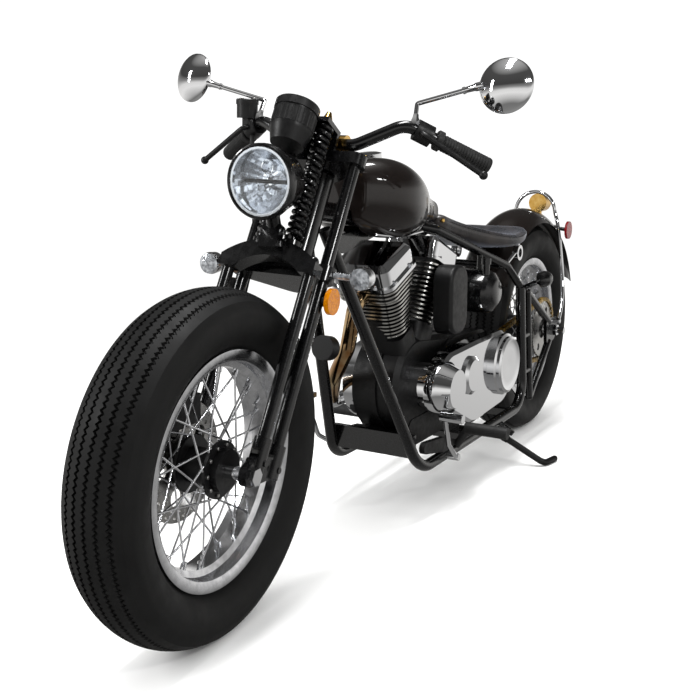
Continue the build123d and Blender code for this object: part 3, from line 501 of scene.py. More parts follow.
def turned(name, profile, place, material, steps, body, slot, *nodes, crease=40):
    """Solid of revolution about local y from (y, r) points."""
    rings = [swung(place, profile, 2 * math.pi * i / steps) for i in range(steps)]
    return settle(shell(name, rings, material, closed_along=True, crease=crease), body, slot, *nodes)


def drawn(name, points, radius, material, place, body, slot, *nodes):
    """Round wire along a smooth line that a frame's points steer."""
    line = bpy.data.curves.new(name, "CURVE")
    line.dimensions = "3D"
    line.resolution_u = 8
    line.bevel_depth = radius * MM
    line.bevel_resolution = 4
    line.use_fill_caps = True
    spline = line.splines.new("NURBS")
    spline.points.add(len(points) - 1)
    for point, at in zip(spline.points, points):
        point.co = (*(place @ Vector(at)), 1)
    spline.order_u = 3
    spline.use_endpoint_u = True
    holder = link_object(name + "_line", line)
    mesh = bpy.data.meshes.new_from_object(holder.evaluated_get(bpy.context.evaluated_depsgraph_get()))
    bpy.data.objects.remove(holder)
    mesh.materials.clear()
    mesh.materials.append(finish(material))
    soften(mesh, 50)
    return settle(link_object(name, mesh), body, slot, *nodes)


def axis_frame(place, at, along):
    """Frame in mm at a point of another frame, its y along a direction there."""
    y = (place.to_3x3() @ Vector(along)).normalized()
    x = y.orthogonal().normalized()
    return frame_matrix(place @ Vector(at), x, y, x.cross(y))


def on_side(side, at):
    """A point or direction of the left side, or for side -1 its mirror image."""
    return Vector((at[0], side * at[1], at[2]))


def arc(a, b, c, count):
    """Points on the circle through three points of a plane, from a to c."""
    (ax, ay), (bx, by), (cx, cy) = a, b, c
    d = 2 * (ax * (by - cy) + bx * (cy - ay) + cx * (ay - by))
    sa, sb, sc = ax * ax + ay * ay, bx * bx + by * by, cx * cx + cy * cy
    ux = (sa * (by - cy) + sb * (cy - ay) + sc * (ay - by)) / d
    uy = (sa * (cx - bx) + sb * (ax - cx) + sc * (bx - ax)) / d
    radius = math.hypot(ax - ux, ay - uy)
    start, mid, end = (math.atan2(p[1] - uy, p[0] - ux) for p in (a, b, c))
    sweep = (end - start) % (2 * math.pi)
    if (mid - start) % (2 * math.pi) > sweep:
        sweep -= 2 * math.pi
    angles = [start + sweep * i / (count - 1) for i in range(count)]
    return [(ux + radius * math.cos(t), uy + radius * math.sin(t)) for t in angles]


def towards(place, way, least):
    """Pick of finish 1 for faces that look along a direction of a frame."""
    aim = (place.to_3x3() @ Vector(way)).normalized()
    return lambda middle, normal: int(normal.dot(aim) > least)


def beyond(place, reach):
    """Pick of finish 1 for faces further than reach from the frame's middle plane."""
    back = place.inverted()
    return lambda middle, normal: int(abs((back @ middle).y) > reach)


def past(place, axis, limit, way=1):
    """Pick of finish 1 for faces above a limit on a frame's axis, or for way -1 below it."""
    back = place.inverted()
    return lambda middle, normal: int(way * (back @ middle)[axis] > way * limit)


def tree_with(name, floats, counts=()):
    """Geometry tree with named inputs, a geometry and a material, and the sockets that give them."""
    tree = bpy.data.node_groups.new(name, "GeometryNodeTree")
    kinds = {"Geometry": "NodeSocketGeometry", "Material": "NodeSocketMaterial"}
    kinds.update({socket: "NodeSocketFloat" for socket in floats})
    kinds.update({socket: "NodeSocketInt" for socket in counts})
    for socket, kind in kinds.items():
        tree.interface.new_socket(socket, in_out="INPUT", socket_type=kind)
    tree.interface.new_socket("Geometry", in_out="OUTPUT", socket_type="NodeSocketGeometry")
    return tree, tree.nodes.new("NodeGroupInput").outputs


def close_tree(tree, geometry, given):
    """Realize the instances, give them their material and end the tree."""
    real = add(tree, "GeometryNodeRealizeInstances", {"Geometry": geometry})
    painted = add(tree, "GeometryNodeSetMaterial", {"Geometry": real, "Material": given["Material"]})
    add(tree, "NodeGroupOutput", {"Geometry": painted})
    return tree


def aimed(tree, axis, **settings):
    """Rotation that lays an axis of an instance along its point's aim."""
    aim = add(tree, "GeometryNodeInputNamedAttribute", {"Name": "aim"}, data_type="FLOAT_VECTOR")
    return add(tree, "FunctionNodeAlignRotationToVector", {"Vector": aim}, axis=axis, **settings)


def stud_tree():
    """Round or hexagon heads with a chamfered top on points, each along its aim."""
    tree, given = tree_with("heads_on_points", ("Radius", "Height"), ("Sides",))
    radius, height, sides = given["Radius"], given["Height"], given["Sides"]
    half = add(tree, "ShaderNodeMath", {0: height, 1: 0.5}, operation="MULTIPLY")
    lift = add(tree, "ShaderNodeCombineXYZ", {"Z": half})
    stem = add(tree, "GeometryNodeMeshCylinder", {"Vertices": sides, "Radius": radius, "Depth": height})
    raised = add(tree, "GeometryNodeTransform", {"Geometry": stem, "Translation": lift})
    top = add(tree, "ShaderNodeMath", {0: radius, 1: 0.7}, operation="MULTIPLY")
    slope = add(tree, "ShaderNodeMath", {0: radius, 1: 0.25}, operation="MULTIPLY")
    cone = {"Vertices": sides, "Radius Top": top, "Radius Bottom": radius, "Depth": slope}
    cap = add(tree, "GeometryNodeMeshCone", cone)
    cap_at = add(tree, "ShaderNodeCombineXYZ", {"Z": height})
    capped = add(tree, "GeometryNodeTransform", {"Geometry": cap, "Translation": cap_at})
    head = add(tree, "GeometryNodeJoinGeometry", {"Geometry": [raised, capped]})
    turn = aimed(tree, "Z")
    parts = {"Points": given["Geometry"], "Instance": head, "Rotation": turn}
    return close_tree(tree, add(tree, "GeometryNodeInstanceOnPoints", parts), given)


def coil_tree():
    """Wire wound into a spring up the z axis."""
    tree, given = tree_with("wound_wire", ("Radius", "Height", "Turns", "Wire"))
    radius = given["Radius"]
    winding = {"Resolution": 22, "Rotations": given["Turns"], "Height": given["Height"]}
    winding.update({"Start Radius": radius, "End Radius": radius})
    spiral = add(tree, "GeometryNodeCurveSpiral", winding)
    section = add(tree, "GeometryNodeCurvePrimitiveCircle", {"Resolution": 10, "Radius": given["Wire"]})
    sweep = {"Curve": spiral, "Profile Curve": section, "Fill Caps": True}
    wire = add(tree, "GeometryNodeCurveToMesh", sweep)
    smooth = add(tree, "GeometryNodeSetShadeSmooth", {"Geometry": wire})
    return close_tree(tree, smooth, given)


def fin_tree():
    """Flat plates with round corners on points, across their aim, each of three larger than the last."""
    tree, given = tree_with("fins_on_points", (*FIN_SIZES, "Growth"))
    outline = {"Width": given["Width"], "Height": given["Length"]}
    square = add(tree, "GeometryNodeCurvePrimitiveQuadrilateral", outline)
    corners = {"Curve": square, "Radius": given["Corner"], "Count": 8}
    rounded = add(tree, "GeometryNodeFilletCurve", corners, mode="POLY")
    sheet = add(tree, "GeometryNodeFillCurve", {"Curve": rounded}, mode="NGONS")
    rise = {"Mesh": sheet, "Offset Scale": given["Thickness"], "Individual": False}
    raised = add(tree, "GeometryNodeExtrudeMesh", rise)
    under = add(tree, "GeometryNodeFlipFaces", {"Mesh": sheet})
    plate = add(tree, "GeometryNodeJoinGeometry", {"Geometry": [raised, under]})
    whole = add(tree, "GeometryNodeMergeByDistance", {"Geometry": plate, "Distance": 0.01 * MM})
    turn = aimed(tree, "Z", pivot_axis="Y")
    index = add(tree, "GeometryNodeInputIndex")
    step = add(tree, "ShaderNodeMath", {0: index, 1: float(len(HEAD_FINS))}, operation="MODULO")
    more = add(tree, "ShaderNodeMath", {0: step, 1: given["Growth"], 2: 1.0}, operation="MULTIPLY_ADD")
    wide = add(tree, "ShaderNodeCombineXYZ", {"X": more, "Y": more, "Z": 1.0})
    parts = {"Points": given["Geometry"], "Instance": whole, "Rotation": turn, "Scale": wide}
    return close_tree(tree, add(tree, "GeometryNodeInstanceOnPoints", parts), given)


def link_tree():
    """Chain links on points, narrow and wide by turns, each along its aim in the x-z plane."""
    tree, given = tree_with("links_on_points", ("Pitch", *CHAIN_SIZES))
    across = (math.radians(90), 0, 0)
    turn = aimed(tree, "X", pivot_axis="Y")
    index = add(tree, "GeometryNodeInputIndex")
    parity = add(tree, "ShaderNodeMath", {0: index, 1: 2.0}, operation="MODULO")
    eye_r = add(tree, "ShaderNodeMath", {0: given["Plate"], 1: 0.5}, operation="MULTIPLY")
    waist = add(tree, "ShaderNodeMath", {0: given["Plate"], 1: 0.7}, operation="MULTIPLY")
    half_pitch = add(tree, "ShaderNodeMath", {0: given["Pitch"], 1: 0.5}, operation="MULTIPLY")
    both = []
    for width, odd in (("Inner", 0.0), ("Outer", 1.0)):
        pieces = []
        for side in (1, -1):
            y = add(tree, "ShaderNodeMath", {0: given[width], 1: 0.5 * side}, operation="MULTIPLY")
            bar = add(tree, "ShaderNodeCombineXYZ", {"X": given["Pitch"], "Y": given["Sheet"], "Z": waist})
            plate = add(tree, "GeometryNodeMeshCube", {"Size": bar})
            at = add(tree, "ShaderNodeCombineXYZ", {"Y": y})
            pieces.append(add(tree, "GeometryNodeTransform", {"Geometry": plate, "Translation": at}))
            for end in (1, -1):
                x = add(tree, "ShaderNodeMath", {0: half_pitch, 1: end}, operation="MULTIPLY")
                at = add(tree, "ShaderNodeCombineXYZ", {"X": x, "Y": y})
                disc = {"Vertices": 10, "Radius": eye_r, "Depth": given["Sheet"]}
                eye = add(tree, "GeometryNodeMeshCylinder", disc)
                put = {"Geometry": eye, "Translation": at, "Rotation": across}
                pieces.append(add(tree, "GeometryNodeTransform", put))
        barrel = {"Vertices": 10, "Radius": given["Roller"], "Depth": given["Inner"]}
        roller = add(tree, "GeometryNodeMeshCylinder", barrel)
        at = add(tree, "ShaderNodeCombineXYZ", {"X": half_pitch})
        put = {"Geometry": roller, "Translation": at, "Rotation": across}
        pieces.append(add(tree, "GeometryNodeTransform", put))
        link = add(tree, "GeometryNodeJoinGeometry", {"Geometry": pieces})
        chosen = add(tree, "FunctionNodeCompare", {0: parity, 1: odd}, data_type="FLOAT", operation="EQUAL")
        parts = {"Points": given["Geometry"], "Selection": chosen, "Instance": link, "Rotation": turn}
        both.append(add(tree, "GeometryNodeInstanceOnPoints", parts))
    return close_tree(tree, add(tree, "GeometryNodeJoinGeometry", {"Geometry": both}), given)


made_trees = {}


def grow(name, maker, points, aims=None, place=None, crease=30, **values):
    """Plain mesh grown by a node tree over loose points, then placed by a matrix."""
    if maker not in made_trees:
        made_trees[maker] = maker()
    tree = made_trees[maker]
    seed = bpy.data.meshes.new(name)
    seed.from_pydata(points, [], [])
    if aims:
        aim = seed.attributes.new("aim", "FLOAT_VECTOR", "POINT")
        aim.data.foreach_set("vector", [c for a in aims for c in a])
    piece = link_object(name, seed)
    modifier = piece.modifiers.new("Grow", "NODES")
    modifier.node_group = tree
    for item in tree.interface.items_tree:
        if item.item_type == "SOCKET" and item.in_out == "INPUT" and item.name in values:
            modifier[item.identifier] = values[item.name]
    grown = bpy.data.meshes.new_from_object(piece.evaluated_get(bpy.context.evaluated_depsgraph_get()))
    piece.modifiers.clear()
    piece.data = grown
    if place:
        grown.transform(place)
    soften(grown, crease)
    return piece


def studs(name, points, aims):
    """Heads from the table on points of the scene, each along its aim."""
    body, slot, material, radius, height, sides = HEADS[name]
    values = {"Radius": radius * MM, "Height": height * MM, "Sides": sides, "Material": finish(material)}
    return settle(grow(name, stud_tree, points, aims, **values), body, slot)


def ring_of(count, radius, y, place, phase=0.0):
    """Points of the scene on a circle across a frame's y axis."""
    return [swung(place, [(y, radius)], 2 * math.pi * (i + phase) / count)[0] for i in range(count)]


def in_metres(sizes):
    """Sizes by name, from mm."""
    return {name: size * MM for name, size in sizes.items()}


def facing(place, direction, count):
    """The same direction of a frame for many points."""
    return [(place.to_3x3() @ Vector(direction)).normalized()] * count


def outward(place, count, forward=0):
    """Directions to the left and then to the right of a frame, each for many points."""
    return facing(place, (forward, 1, 0), count) + facing(place, (forward, -1, 0), count)


def tread_profile(zig, depth, width):
    """Closed (y, r) section of a tyre; zig shifts its grooves sideways."""
    crown = arc((-SHOULDER[0], SHOULDER[1]), (0, TYRE_RADIUS), SHOULDER, 201)
    ys, rs = zip(*crown)
    edge = SHOULDER[0] - 4
    marks = [(zig - edge, 0)]
    for middle in GROOVES_Y:
        marks += [(middle + zig + width * across, depth * down) for across, down in GROOVE]
    marks.append((zig + edge, 0))
    tread = [(y, float(np.interp(y, ys, rs)) - drop) for y, drop in marks]
    side = arc(SHOULDER, BELLY, BEAD, 14)
    # fine ribs at the shoulder and by the rim
    side = [(y + 1.2 * (k in (2, 3, 11)), r) for k, (y, r) in enumerate(side)]
    left = [(-y, r) for y, r in reversed(side)]
    return left + tread + side + [(BEAD[0], SEAT_R + 1), (-BEAD[0], SEAT_R + 1)]


def tyre(end, place, body):
    """Tyre with zig-zag grooves between flat ribs."""
    sizes = size_props()
    depth, width = sizes.groove_depth / MM, sizes.groove_width / MM
    rings = []
    for i in range(2 * sizes.tooth_count):
        profile = tread_profile(ZIG if i % 2 else -ZIG, depth, width)
        rings.append(swung(place, profile, math.pi * i / sizes.tooth_count))
    piece = shell(f"{end}_tyre_moulded", rings, "tyre", closed_along=True, crease=28)
    settle(piece, body, "tyre_rubber", f"{end}_tyre")


class CRUISER_OT_wheels(bpy.types.Operator):
    """Tyres with zig-zag tread, plated rims, hubs, discs and their small bolts"""

    bl_idname = "cruiser.wheels"
    bl_label = "Wheels"

    def execute(self, context):
        for end, place in (("front", FRONT_WHEEL), ("rear", REAR_WHEEL)):
            body = f"{end}_wheel"
            tyre(end, place, body)
            dress(f"{end}_rim", "spoke", crease=30)
            dress(f"{end}_hub", "satin")
            dress(f"{end}_disc", "steel")
            points, aims = [], []
            for i in range(SPOKES):
                a = 2 * math.pi * i / SPOKES
                side = NIPPLE_Y if i % 2 else -NIPPLE_Y
                out = Vector((math.cos(a), 0, math.sin(a)))
                points.append(place @ (out * NIPPLE_R + Vector((0, side, 0))))
                aims += facing(place, -out, 1)
            studs(f"{end}_nipples", points, aims)
            flange = []
            for y in (HUB_BOLT_Y, -HUB_BOLT_Y):
                flange += ring_of(HUB_BOLTS, HUB_BOLT_R, y, place)
            studs(f"{end}_hub_bolts", flange, outward(place, HUB_BOLTS))
        return {"FINISHED"}


class CRUISER_OT_fork(bpy.types.Operator):
    """Springer fork: enamelled legs, wound springs, rockers, axle, caliper and hose"""

    bl_idname = "cruiser.fork"
    bl_label = "Fork"

    def execute(self, context):
        sizes = size_props()
        dress("fork_rigid_legs", "enamel")
        dress("fork_spring_legs", "enamel", "brass", pick=past(FORK, 2, SPRING_TOP + 10))
        dress("fork_rockers", "enamel")
        dress("front_axle", "chrome")
        dress("front_caliper", "satin")
        dress("brake_hose", "grip")
        wire = sizes.coil_wire
        values = {
            "Radius": SPRING_R * MM - wire, "Height": (SPRING_TOP - SPRING_LOW) * MM - 2 * wire,
            "Turns": sizes.coil_turns, "Wire": wire, "Material": finish("enamel"),
        }
        for side, name in SIDES:
            foot = Matrix.Translation((SPRING_U, side * SPRING_Y, SPRING_LOW + wire / MM))
            coil = grow(f"fork_coil_{name}", coil_tree, [(0, 0, 0)], place=FORK @ foot @ METRES, **values)
            settle(coil, "steering", "satin_black", *left_only(side, "fork_springs"))
        points = [FORK @ Vector((LAMP_FOOT_X, side * 20, z)) for side in (1, -1) for z in LAMP_FOOT_Z]
        studs("lamp_foot_nuts", points, outward(FORK, len(LAMP_FOOT_Z)))
        return {"FINISHED"}


def headlamp_inside():
    """Bulging clear lens, faceted reflector bowl with its bar, ring and bulb shade, and a thin bezel."""
    place = axis_frame(FORK, LAMP_AT, LAMP_WAY)
    steps = [i / 10 for i in range(11)]
    outer = [(8 - 6 * t * t, (LENS_R + 4.6) * t) for t in steps]
    inner = [(y - 1.8, r) for y, r in reversed(outer)]
    lens = ("steering", "lens_glass", "headlamp_lens")
    turned("headlamp_lens_pressed", outer + inner, place, "glass", 72, *lens)
    bowl = [(-66 + 54 * t * t, 10 + 46 * t) for t in steps[::2]]
    rim = [(-6, 59.2), (0.9, 59.6), (0.9, 64.4), (0.2, 64.4), (0.2, 60), (-6, 59.9)]
    back = [(y - 1.5, r + 0.5) for y, r in reversed(bowl)]
    turned("headlamp_bowl", bowl + rim + back, place, "silver", 26, "steering", "lens_glass", crease=1)
    shade = [(-67, 0), (-67, 10), (-44, 10), (-37, 8), (-34, 0)]
    turned("headlamp_bulb_shade", shade, place, "chrome", 28, "steering", "chrome")
    bar = [LAMP_AT - LAMP_WAY * 24 + Vector((0, y, 0)) for y in (-45, -20, 20, 45)]
    drawn("headlamp_bar", bar, 4, "satin", FORK, "steering", "satin_black")
    ring_at = axis_frame(FORK, LAMP_AT - LAMP_WAY * 26 + UP_WAY * 27, LAMP_WAY)
    ring = [(-16, 9), (0, 11), (1, 12.4), (0, 13.6), (-16, 13)]
    turned("headlamp_side_light", ring, ring_at, "chrome", 32, "steering", "chrome")
    bezel = [(-13, 70.2), (-13, 71.2), (0, 71.2), (4.4, 69.6), (5.2, 67)]
    bezel += [(3.4, 64.8), (2.2, 64.8), (1.2, 66), (0.2, 70.1)]
    turned("headlamp_bezel", bezel, place, "enamel", 72, "steering", "frame_black")


def speedometer_top():
    """Printed dial with ticks and needle under a flat glass, and ribs round the cup."""
    place = axis_frame(FORK, (SPEEDO_U, SPEEDO_Y, 0), (0, 0, 1))
    top, floor = SPEEDO_TOP, SPEEDO_TOP - 5
    dial = [(floor, 0), (floor, 38.6), (floor + 0.6, 38.6), (floor + 0.6, 0)]
    turned("speedometer_dial", dial, place, "dial", 48, "steering", "satin_black")
    glass = [(floor + 2.6, 0), (floor + 2.6, 38.8), (floor + 4.2, 38.8), (floor + 4.4, 0)]
    turned("speedometer_glass", glass, place, "glass", 48, "steering", "lens_glass")
    ticks = ring_of(36, 33, floor + 0.6, place)[3:31]
    studs("speedometer_ticks", ticks, facing(place, (0, 1, 0), len(ticks)))
    needle = [(SPEEDO_U + x, SPEEDO_Y + y, floor + 1.2) for x, y in ((-4, 0), (10, -4), (28, -12))]
    drawn("speedometer_needle", needle, 0.6, "red", FORK, "steering", "red")
    rim = [(top - 16, 43.1), (top - 16, 45.2), (top, 45.2), (top + 1.4, 44)]
    rim += [(top + 1.4, 40), (top - 0.4, 39.1), (top - 1, 43.1)]
    turned("speedometer_rim", rim, place, "satin", 64, "steering", "satin_black")
    rings = []
    for k in range(192):
        r = 44 if k % 8 < 5 else 43.1
        rings.append(swung(place, ((206, 42.5), (206, r), (239, r), (239, 42.5)), math.pi * k / 96))
    sleeve = shell("speedometer_sleeve", rings, "satin", closed_along=True, crease=20)
    settle(sleeve, "steering", "satin_black")


class CRUISER_OT_lamps(bpy.types.Operator):
    """Headlamp with its reflector bowl and lens, front signals, reflectors and speedometer"""

    bl_idname = "cruiser.lamps"
    bl_label = "Lamps"

    def execute(self, context):
        dress("headlamp_shell", "enamel")
        headlamp_inside()
        dress("speedometer", "satin")
        speedometer_top()
        dress("front_signals", "chrome", "clear", pick=towards(FORK, LAMP_WAY, LENS_FACING))
        dress("front_reflectors", "satin", "amber", pick=beyond(FORK, FRONT_REFLECTOR_Y))
        return {"FINISHED"}


def on_grip(distance, forward=0, out=0, up=0):
    """Point of the fork frame on the left grip's line, measured in from the bar's end."""
    at = BAR_END + (BAR_TOP - BAR_END).normalized() * distance
    return at + LAMP_WAY * forward + Vector((0, out, 0)) + UP_WAY * up


def ribbed_grip(side, name):
    """Grip with fine ribs, a rounded end and an inner flange."""
    profile = [(-6, 0), (-6, 13), (-4, 16)]
    for i in range(17):
        y = i * 6.2
        profile += [(y, 17.2), (y + 3.6, 17.2), (y + 4.4, 15.9), (y + 5.6, 15.9)]
    profile += [(107, 17.2), (109, 21.2), (120, 21.2), (122, 19), (122, BAR_R), (0, BAR_R)]
    inward = on_side(side, on_grip(1) - on_grip(0))
    place = axis_frame(FORK, on_side(side, on_grip(0)), inward)
    row = ("grip", 40, "steering", "grip_rubber")
    turned(f"grip_{name}", profile, place, *row, *left_only(side, "grips"))


def spun_mirror(side, name, middle, out):
    """Round mirror: spun plated bowl, flat glass, and its bent stalk with clamp and nut."""
    a = math.radians(out)
    back = Vector((0.951 * math.cos(a), side * math.sin(a), -0.309 * math.cos(a)))
    points = (on_grip(170, up=14), STALK_KNEE, STALK_END, middle)
    foot, knee, end, middle = (on_side(side, point) for point in points)
    place = axis_frame(FORK, middle, back)
    ride = ("steering", "chrome")
    bowl = [(1.2, 0), (1.2, 52.6), (0, 53.4), (0.6, 54.6), (2.6, 55), (6, 54.2)]
    bowl += [(28 - 20.4 * t * t, 53 * t) for t in (0.96, 0.88, 0.76, 0.62, 0.46, 0.3, 0.15, 0)]
    turned(name + "_bowl", bowl, place, "chrome", 64, *ride, *left_only(side, "mirrors"))
    glass = [(0.2, 0), (0.2, 52.4), (1.2, 52.4), (1.2, 0)]
    turned(name + "_glass", glass, place, "mirror", 64, *ride)
    # the stalk comes in behind the glass
    entry = middle + (end - middle).normalized() * 50 + back * 8
    inward = (entry - knee).normalized()
    bend = [foot.lerp(knee, 0.86), knee, knee.lerp(entry, 0.08)]
    line = [foot, *bend, knee.lerp(entry, 0.5), entry + inward * 8]
    drawn(name + "_stalk", line, STALK_WIRE, "chrome", FORK, *ride)
    clamp = [(-6, 0), (-6, 8.5), (8, 8.5), (12, 7), (32, 5.8), (32, 7.4), (36, 7.4), (36, 0)]
    turned(name + "_clamp", clamp, axis_frame(FORK, entry, -inward), "chrome", 28, *ride)
    nut = [(-8, 0), (-8, 9), (4, 9), (10, 6.5), (16, 6), (16, 0)]
    turned(name + "_nut", nut, axis_frame(FORK, foot, knee - foot), "chrome", 6, *ride, crease=20)


class CRUISER_OT_controls(bpy.types.Operator):
    """Handlebar, brass risers, ribbed grips, hand controls and mirrors"""

    bl_idname = "cruiser.controls"
    bl_label = "Hand controls"

    def execute(self, context):
        dress("handlebar", "enamel")
        dress("handlebar_risers", "brass")
        dress("hand_controls", "satin")
        for side, name in SIDES:
            ribbed_grip(side, name)
        for row in MIRRORS:
            spun_mirror(*row)
        lid = axis_frame(FORK, on_side(-1, on_grip(138, 16, 6, 62)), UP_WAY)
        profile = [(-9, 23.2), (-9, 24.8), (1, 24.8), (3, 23), (3, 0), (0.2, 0), (0.2, 23.2)]
        turned("fluid_pot_lid", profile, lid, "satin", 40, "steering", "satin_black")
        screws = ring_of(4, 18, 3, lid, phase=0.5)
        studs("fluid_pot_screws", screws, facing(lid, (0, 1, 0), len(screws)))
        return {"FINISHED"}


class CRUISER_OT_frame(bpy.types.Operator):
    """Frame tubes, swingarm, side stand and foot controls"""

    bl_idname = "cruiser.frame"
    bl_label = "Frame"

    def execute(self, context):
        for node in ("spine", "cradle_left", "cradle_right", "crossmembers"):
            dress(f"frame_{node}", "enamel")
        dress("rear_swingarm", "enamel")
        dress("side_stand", "satin")
        dress("foot_pegs", "grip")
        dress("shift_lever", "chrome")
        dress("brake_pedal", "chrome")
        dress("horn", "satin")
        return {"FINISHED"}


def cylinder_frame(way):
    """Frame in mm at the crank with its z up a cylinder; way is 1 for the front one and -1 for the rear."""
    return BIKE @ Matrix.Translation(CRANK) @ Matrix.Rotation(math.radians(V_HALF) * way, 4, "Y")


def in_cylinder(middle):
    """Frame of the cylinder that a point belongs to, and the point there."""
    place = cylinder_frame(1 if (BIKE.inverted() @ middle).x > CRANK.x else -1)
    return place, place.inverted() @ middle


def fin_finish(middle, normal):
    """Fin edges are polished, fin faces black."""
    place, local = in_cylinder(middle)
    up = facing(place, (0, 0, 1), 1)[0]
    return int(abs(normal.dot(up)) < 0.5 and math.hypot(local.x, local.y) > 52)


def head_finish(middle, normal):
    """Rocker covers are plated, the heads under them black."""
    return int(in_cylinder(middle)[1].z > COVER_START - 0.5)


class CRUISER_OT_engine(bpy.types.Operator):
    """V-twin: black case, fins with bright edges, plated covers with their bolts, and exhausts"""

    bl_idname = "cruiser.engine"
    bl_label = "Engine"

    def execute(self, context):
        dress("engine_crankcase", "wrinkle")
        dress("engine_cylinders", "wrinkle", "alloy", pick=fin_finish)
        dress("engine_heads", "wrinkle", "chrome", pick=head_finish)
        for cover in ("left", "generator", "right"):
            dress(f"engine_{cover}_cover", "chrome")
        dress("air_box", "wrinkle")
        dress("oil_tank", "enamel")
        dress("exhausts", "chrome", "header", pick=past(BIKE, 0, HEADER_X))
        lip = [(-3, 30), (-3, 38.4), (2, 38.4), (4, 36.5), (3, 31), (0.4, 30), (0.4, 0), (-3, 0)]
        # a flat black disc just inside each muffler's end is painted shade, standing for the dark hollow of the
        # pipe
        painted_shade_disc = [(0.5, 0), (0.5, 30), (1.4, 30.6), (1.4, 30.2), (0.9, 29.6), (0.9, 0)]
        for name, at, way in MUFFLERS:
            end = axis_frame(BIKE, at, way)
            turned(f"muffler_{name}_lip", lip, end, "chrome", 56, "chassis", "chrome")
            turned(f"muffler_{name}_bore", painted_shade_disc, end, "dial", 56, "chassis", "satin_black")
        fins, fin_aims, bolts, bolt_aims = [], [], [], []
        bolt_places = [(x * i, y * j) for x, y in COVER_BOLTS for j in (1, -1) for i in (1, -1)]
        for way in (1, -1):
            a = math.radians(V_HALF) * way
            up = Vector((math.sin(a), 0, math.cos(a)))
            fins += [(CRANK + up * height) * MM for height in HEAD_FINS]
            fin_aims += [up] * len(HEAD_FINS)
            place = cylinder_frame(way)
            bolts += [place @ Vector((x, y, COVER_START + 8)) for x, y in bolt_places]
            bolt_aims += facing(place, (0, 0, 1), len(bolt_places))
        values = {**in_metres(FIN_SIZES), "Growth": FIN_GROWTH, "Material": finish("alloy")}
        grown = grow("head_fins", fin_tree, fins, fin_aims, place=BIKE @ METRES, **values)
        settle(grown, "chassis", "fin_alloy")
        studs("rocker_cover_bolts", bolts, bolt_aims)
        return {"FINISHED"}


def bent_hoop():
    """Chrome hoop over the fender, round at the top, with eyes at the axle and pins in the fender."""
    x, _, z = HOOP_TOP
    leg = [HOOP_FOOT, HOOP_KNEE, HOOP_BOLT]
    turns = [math.radians(a) for a in range(0, 181, 20)]
    arch = [(x, HOOP_R * math.cos(a), z + HOOP_R * math.sin(a)) for a in turns]
    line = leg + arch + [on_side(-1, at) for at in reversed(leg)]
    drawn("fender_hoop_bent", line, HOOP_WIRE, "chrome", BIKE, "chassis", "chrome", "fender_hoop")
    # name, place, start across the bike
    ends = (("feet", HOOP_FOOT, HOOP_FOOT[1] - HOOP_WIRE), ("pins", HOOP_BOLT, HOOP_PIN_Y))
    for name, at, y in ends:
        points = [BIKE @ Vector((at[0], side * y, at[2])) for side in (1, -1)]
        studs(f"fender_hoop_{name}", points, outward(BIKE, 1))


class CRUISER_OT_body(bpy.types.Operator):
    """Tank with its cap and trim strip, fender, hoop, rear lamps and seat springs"""

    bl_idname = "cruiser.body"
    bl_label = "Body"

    def execute(self, context):
        dress("fuel_tank", "tank")
        dress("fuel_cap", "chrome")
        cap = axis_frame(BIKE, CAP_AT, (3, 0, 24))
        ribs = ring_of(48, 29.6, 7, cap)
        out = [(p - cap @ Vector((0, 7, 0))).normalized() for p in ribs]
        studs("fuel_cap_knurl", ribs, out)
        crown = [(22, 0), (22, 29.8), (25, 28), (27, 20), (27.6, 0)]
        turned("fuel_cap_crown", crown, cap, "chrome", 48, "chassis", "chrome")
        for side, name in SIDES:
            line = [on_side(side, at) for at in TRIM_LINE]
            drawn(f"tank_trim_{name}", line, TRIM_WIRE, "chrome", BIKE, "chassis", "chrome")
        dress("rear_fender", "tank")
        bent_hoop()
        dress("tail_lamp", "brass", "red", pick=past(BIKE, 0, TAIL_LENS_X, -1))
        dress("rear_signals", "enamel", "amber", pick=towards(BIKE, (-1, 0, 0), LENS_FACING))
        dress("rear_reflectors", "satin", "red", pick=beyond(BIKE, REAR_REFLECTOR_Y))
        dress("seat_springs", "chrome")
        return {"FINISHED"}


def bump_at(distance, width, power=2):
    """Share of a smooth bump at a distance from its middle."""
    return math.exp(-((distance / width) ** power))


def saddle_size(x):
    """Middle height, half width and half height of the saddle at x, a cubic through its sections."""
    xs = [section[0] for section in SADDLE]
    return [float(np.polyval(np.polyfit(xs, [s[k] for s in SADDLE], 3), x)) for k in (1, 2, 3)]


def saddle_sag(x):
    """How far the saddle's top edge sinks at x, between the nose and the raised back."""
    depth, middle, length = SADDLE_SAG
    return depth * bump_at(x - middle, length)


def saddle_dent(x, y):
    """How far the leather is drawn down by the buttons and the creases between them."""
    (button, reach), (crease, width) = BUTTON_DENT, CREASE_DENT
    drop = sum(button * bump_at(math.hypot(x - bx, y - by), reach) for bx, by in SADDLE_BUTTONS)
    ax, ay = SADDLE_BUTTONS[0]
    for bx, by in SADDLE_BUTTONS[1:]:
        t = ((x - ax) * (bx - ax) + (y - ay) * (by - ay)) / ((bx - ax) ** 2 + (by - ay) ** 2)
        t = max(0, min(1, t))
        drop += crease * bump_at(math.hypot(x - ax - t * (bx - ax), y - ay - t * (by - ay)), width)
    return drop


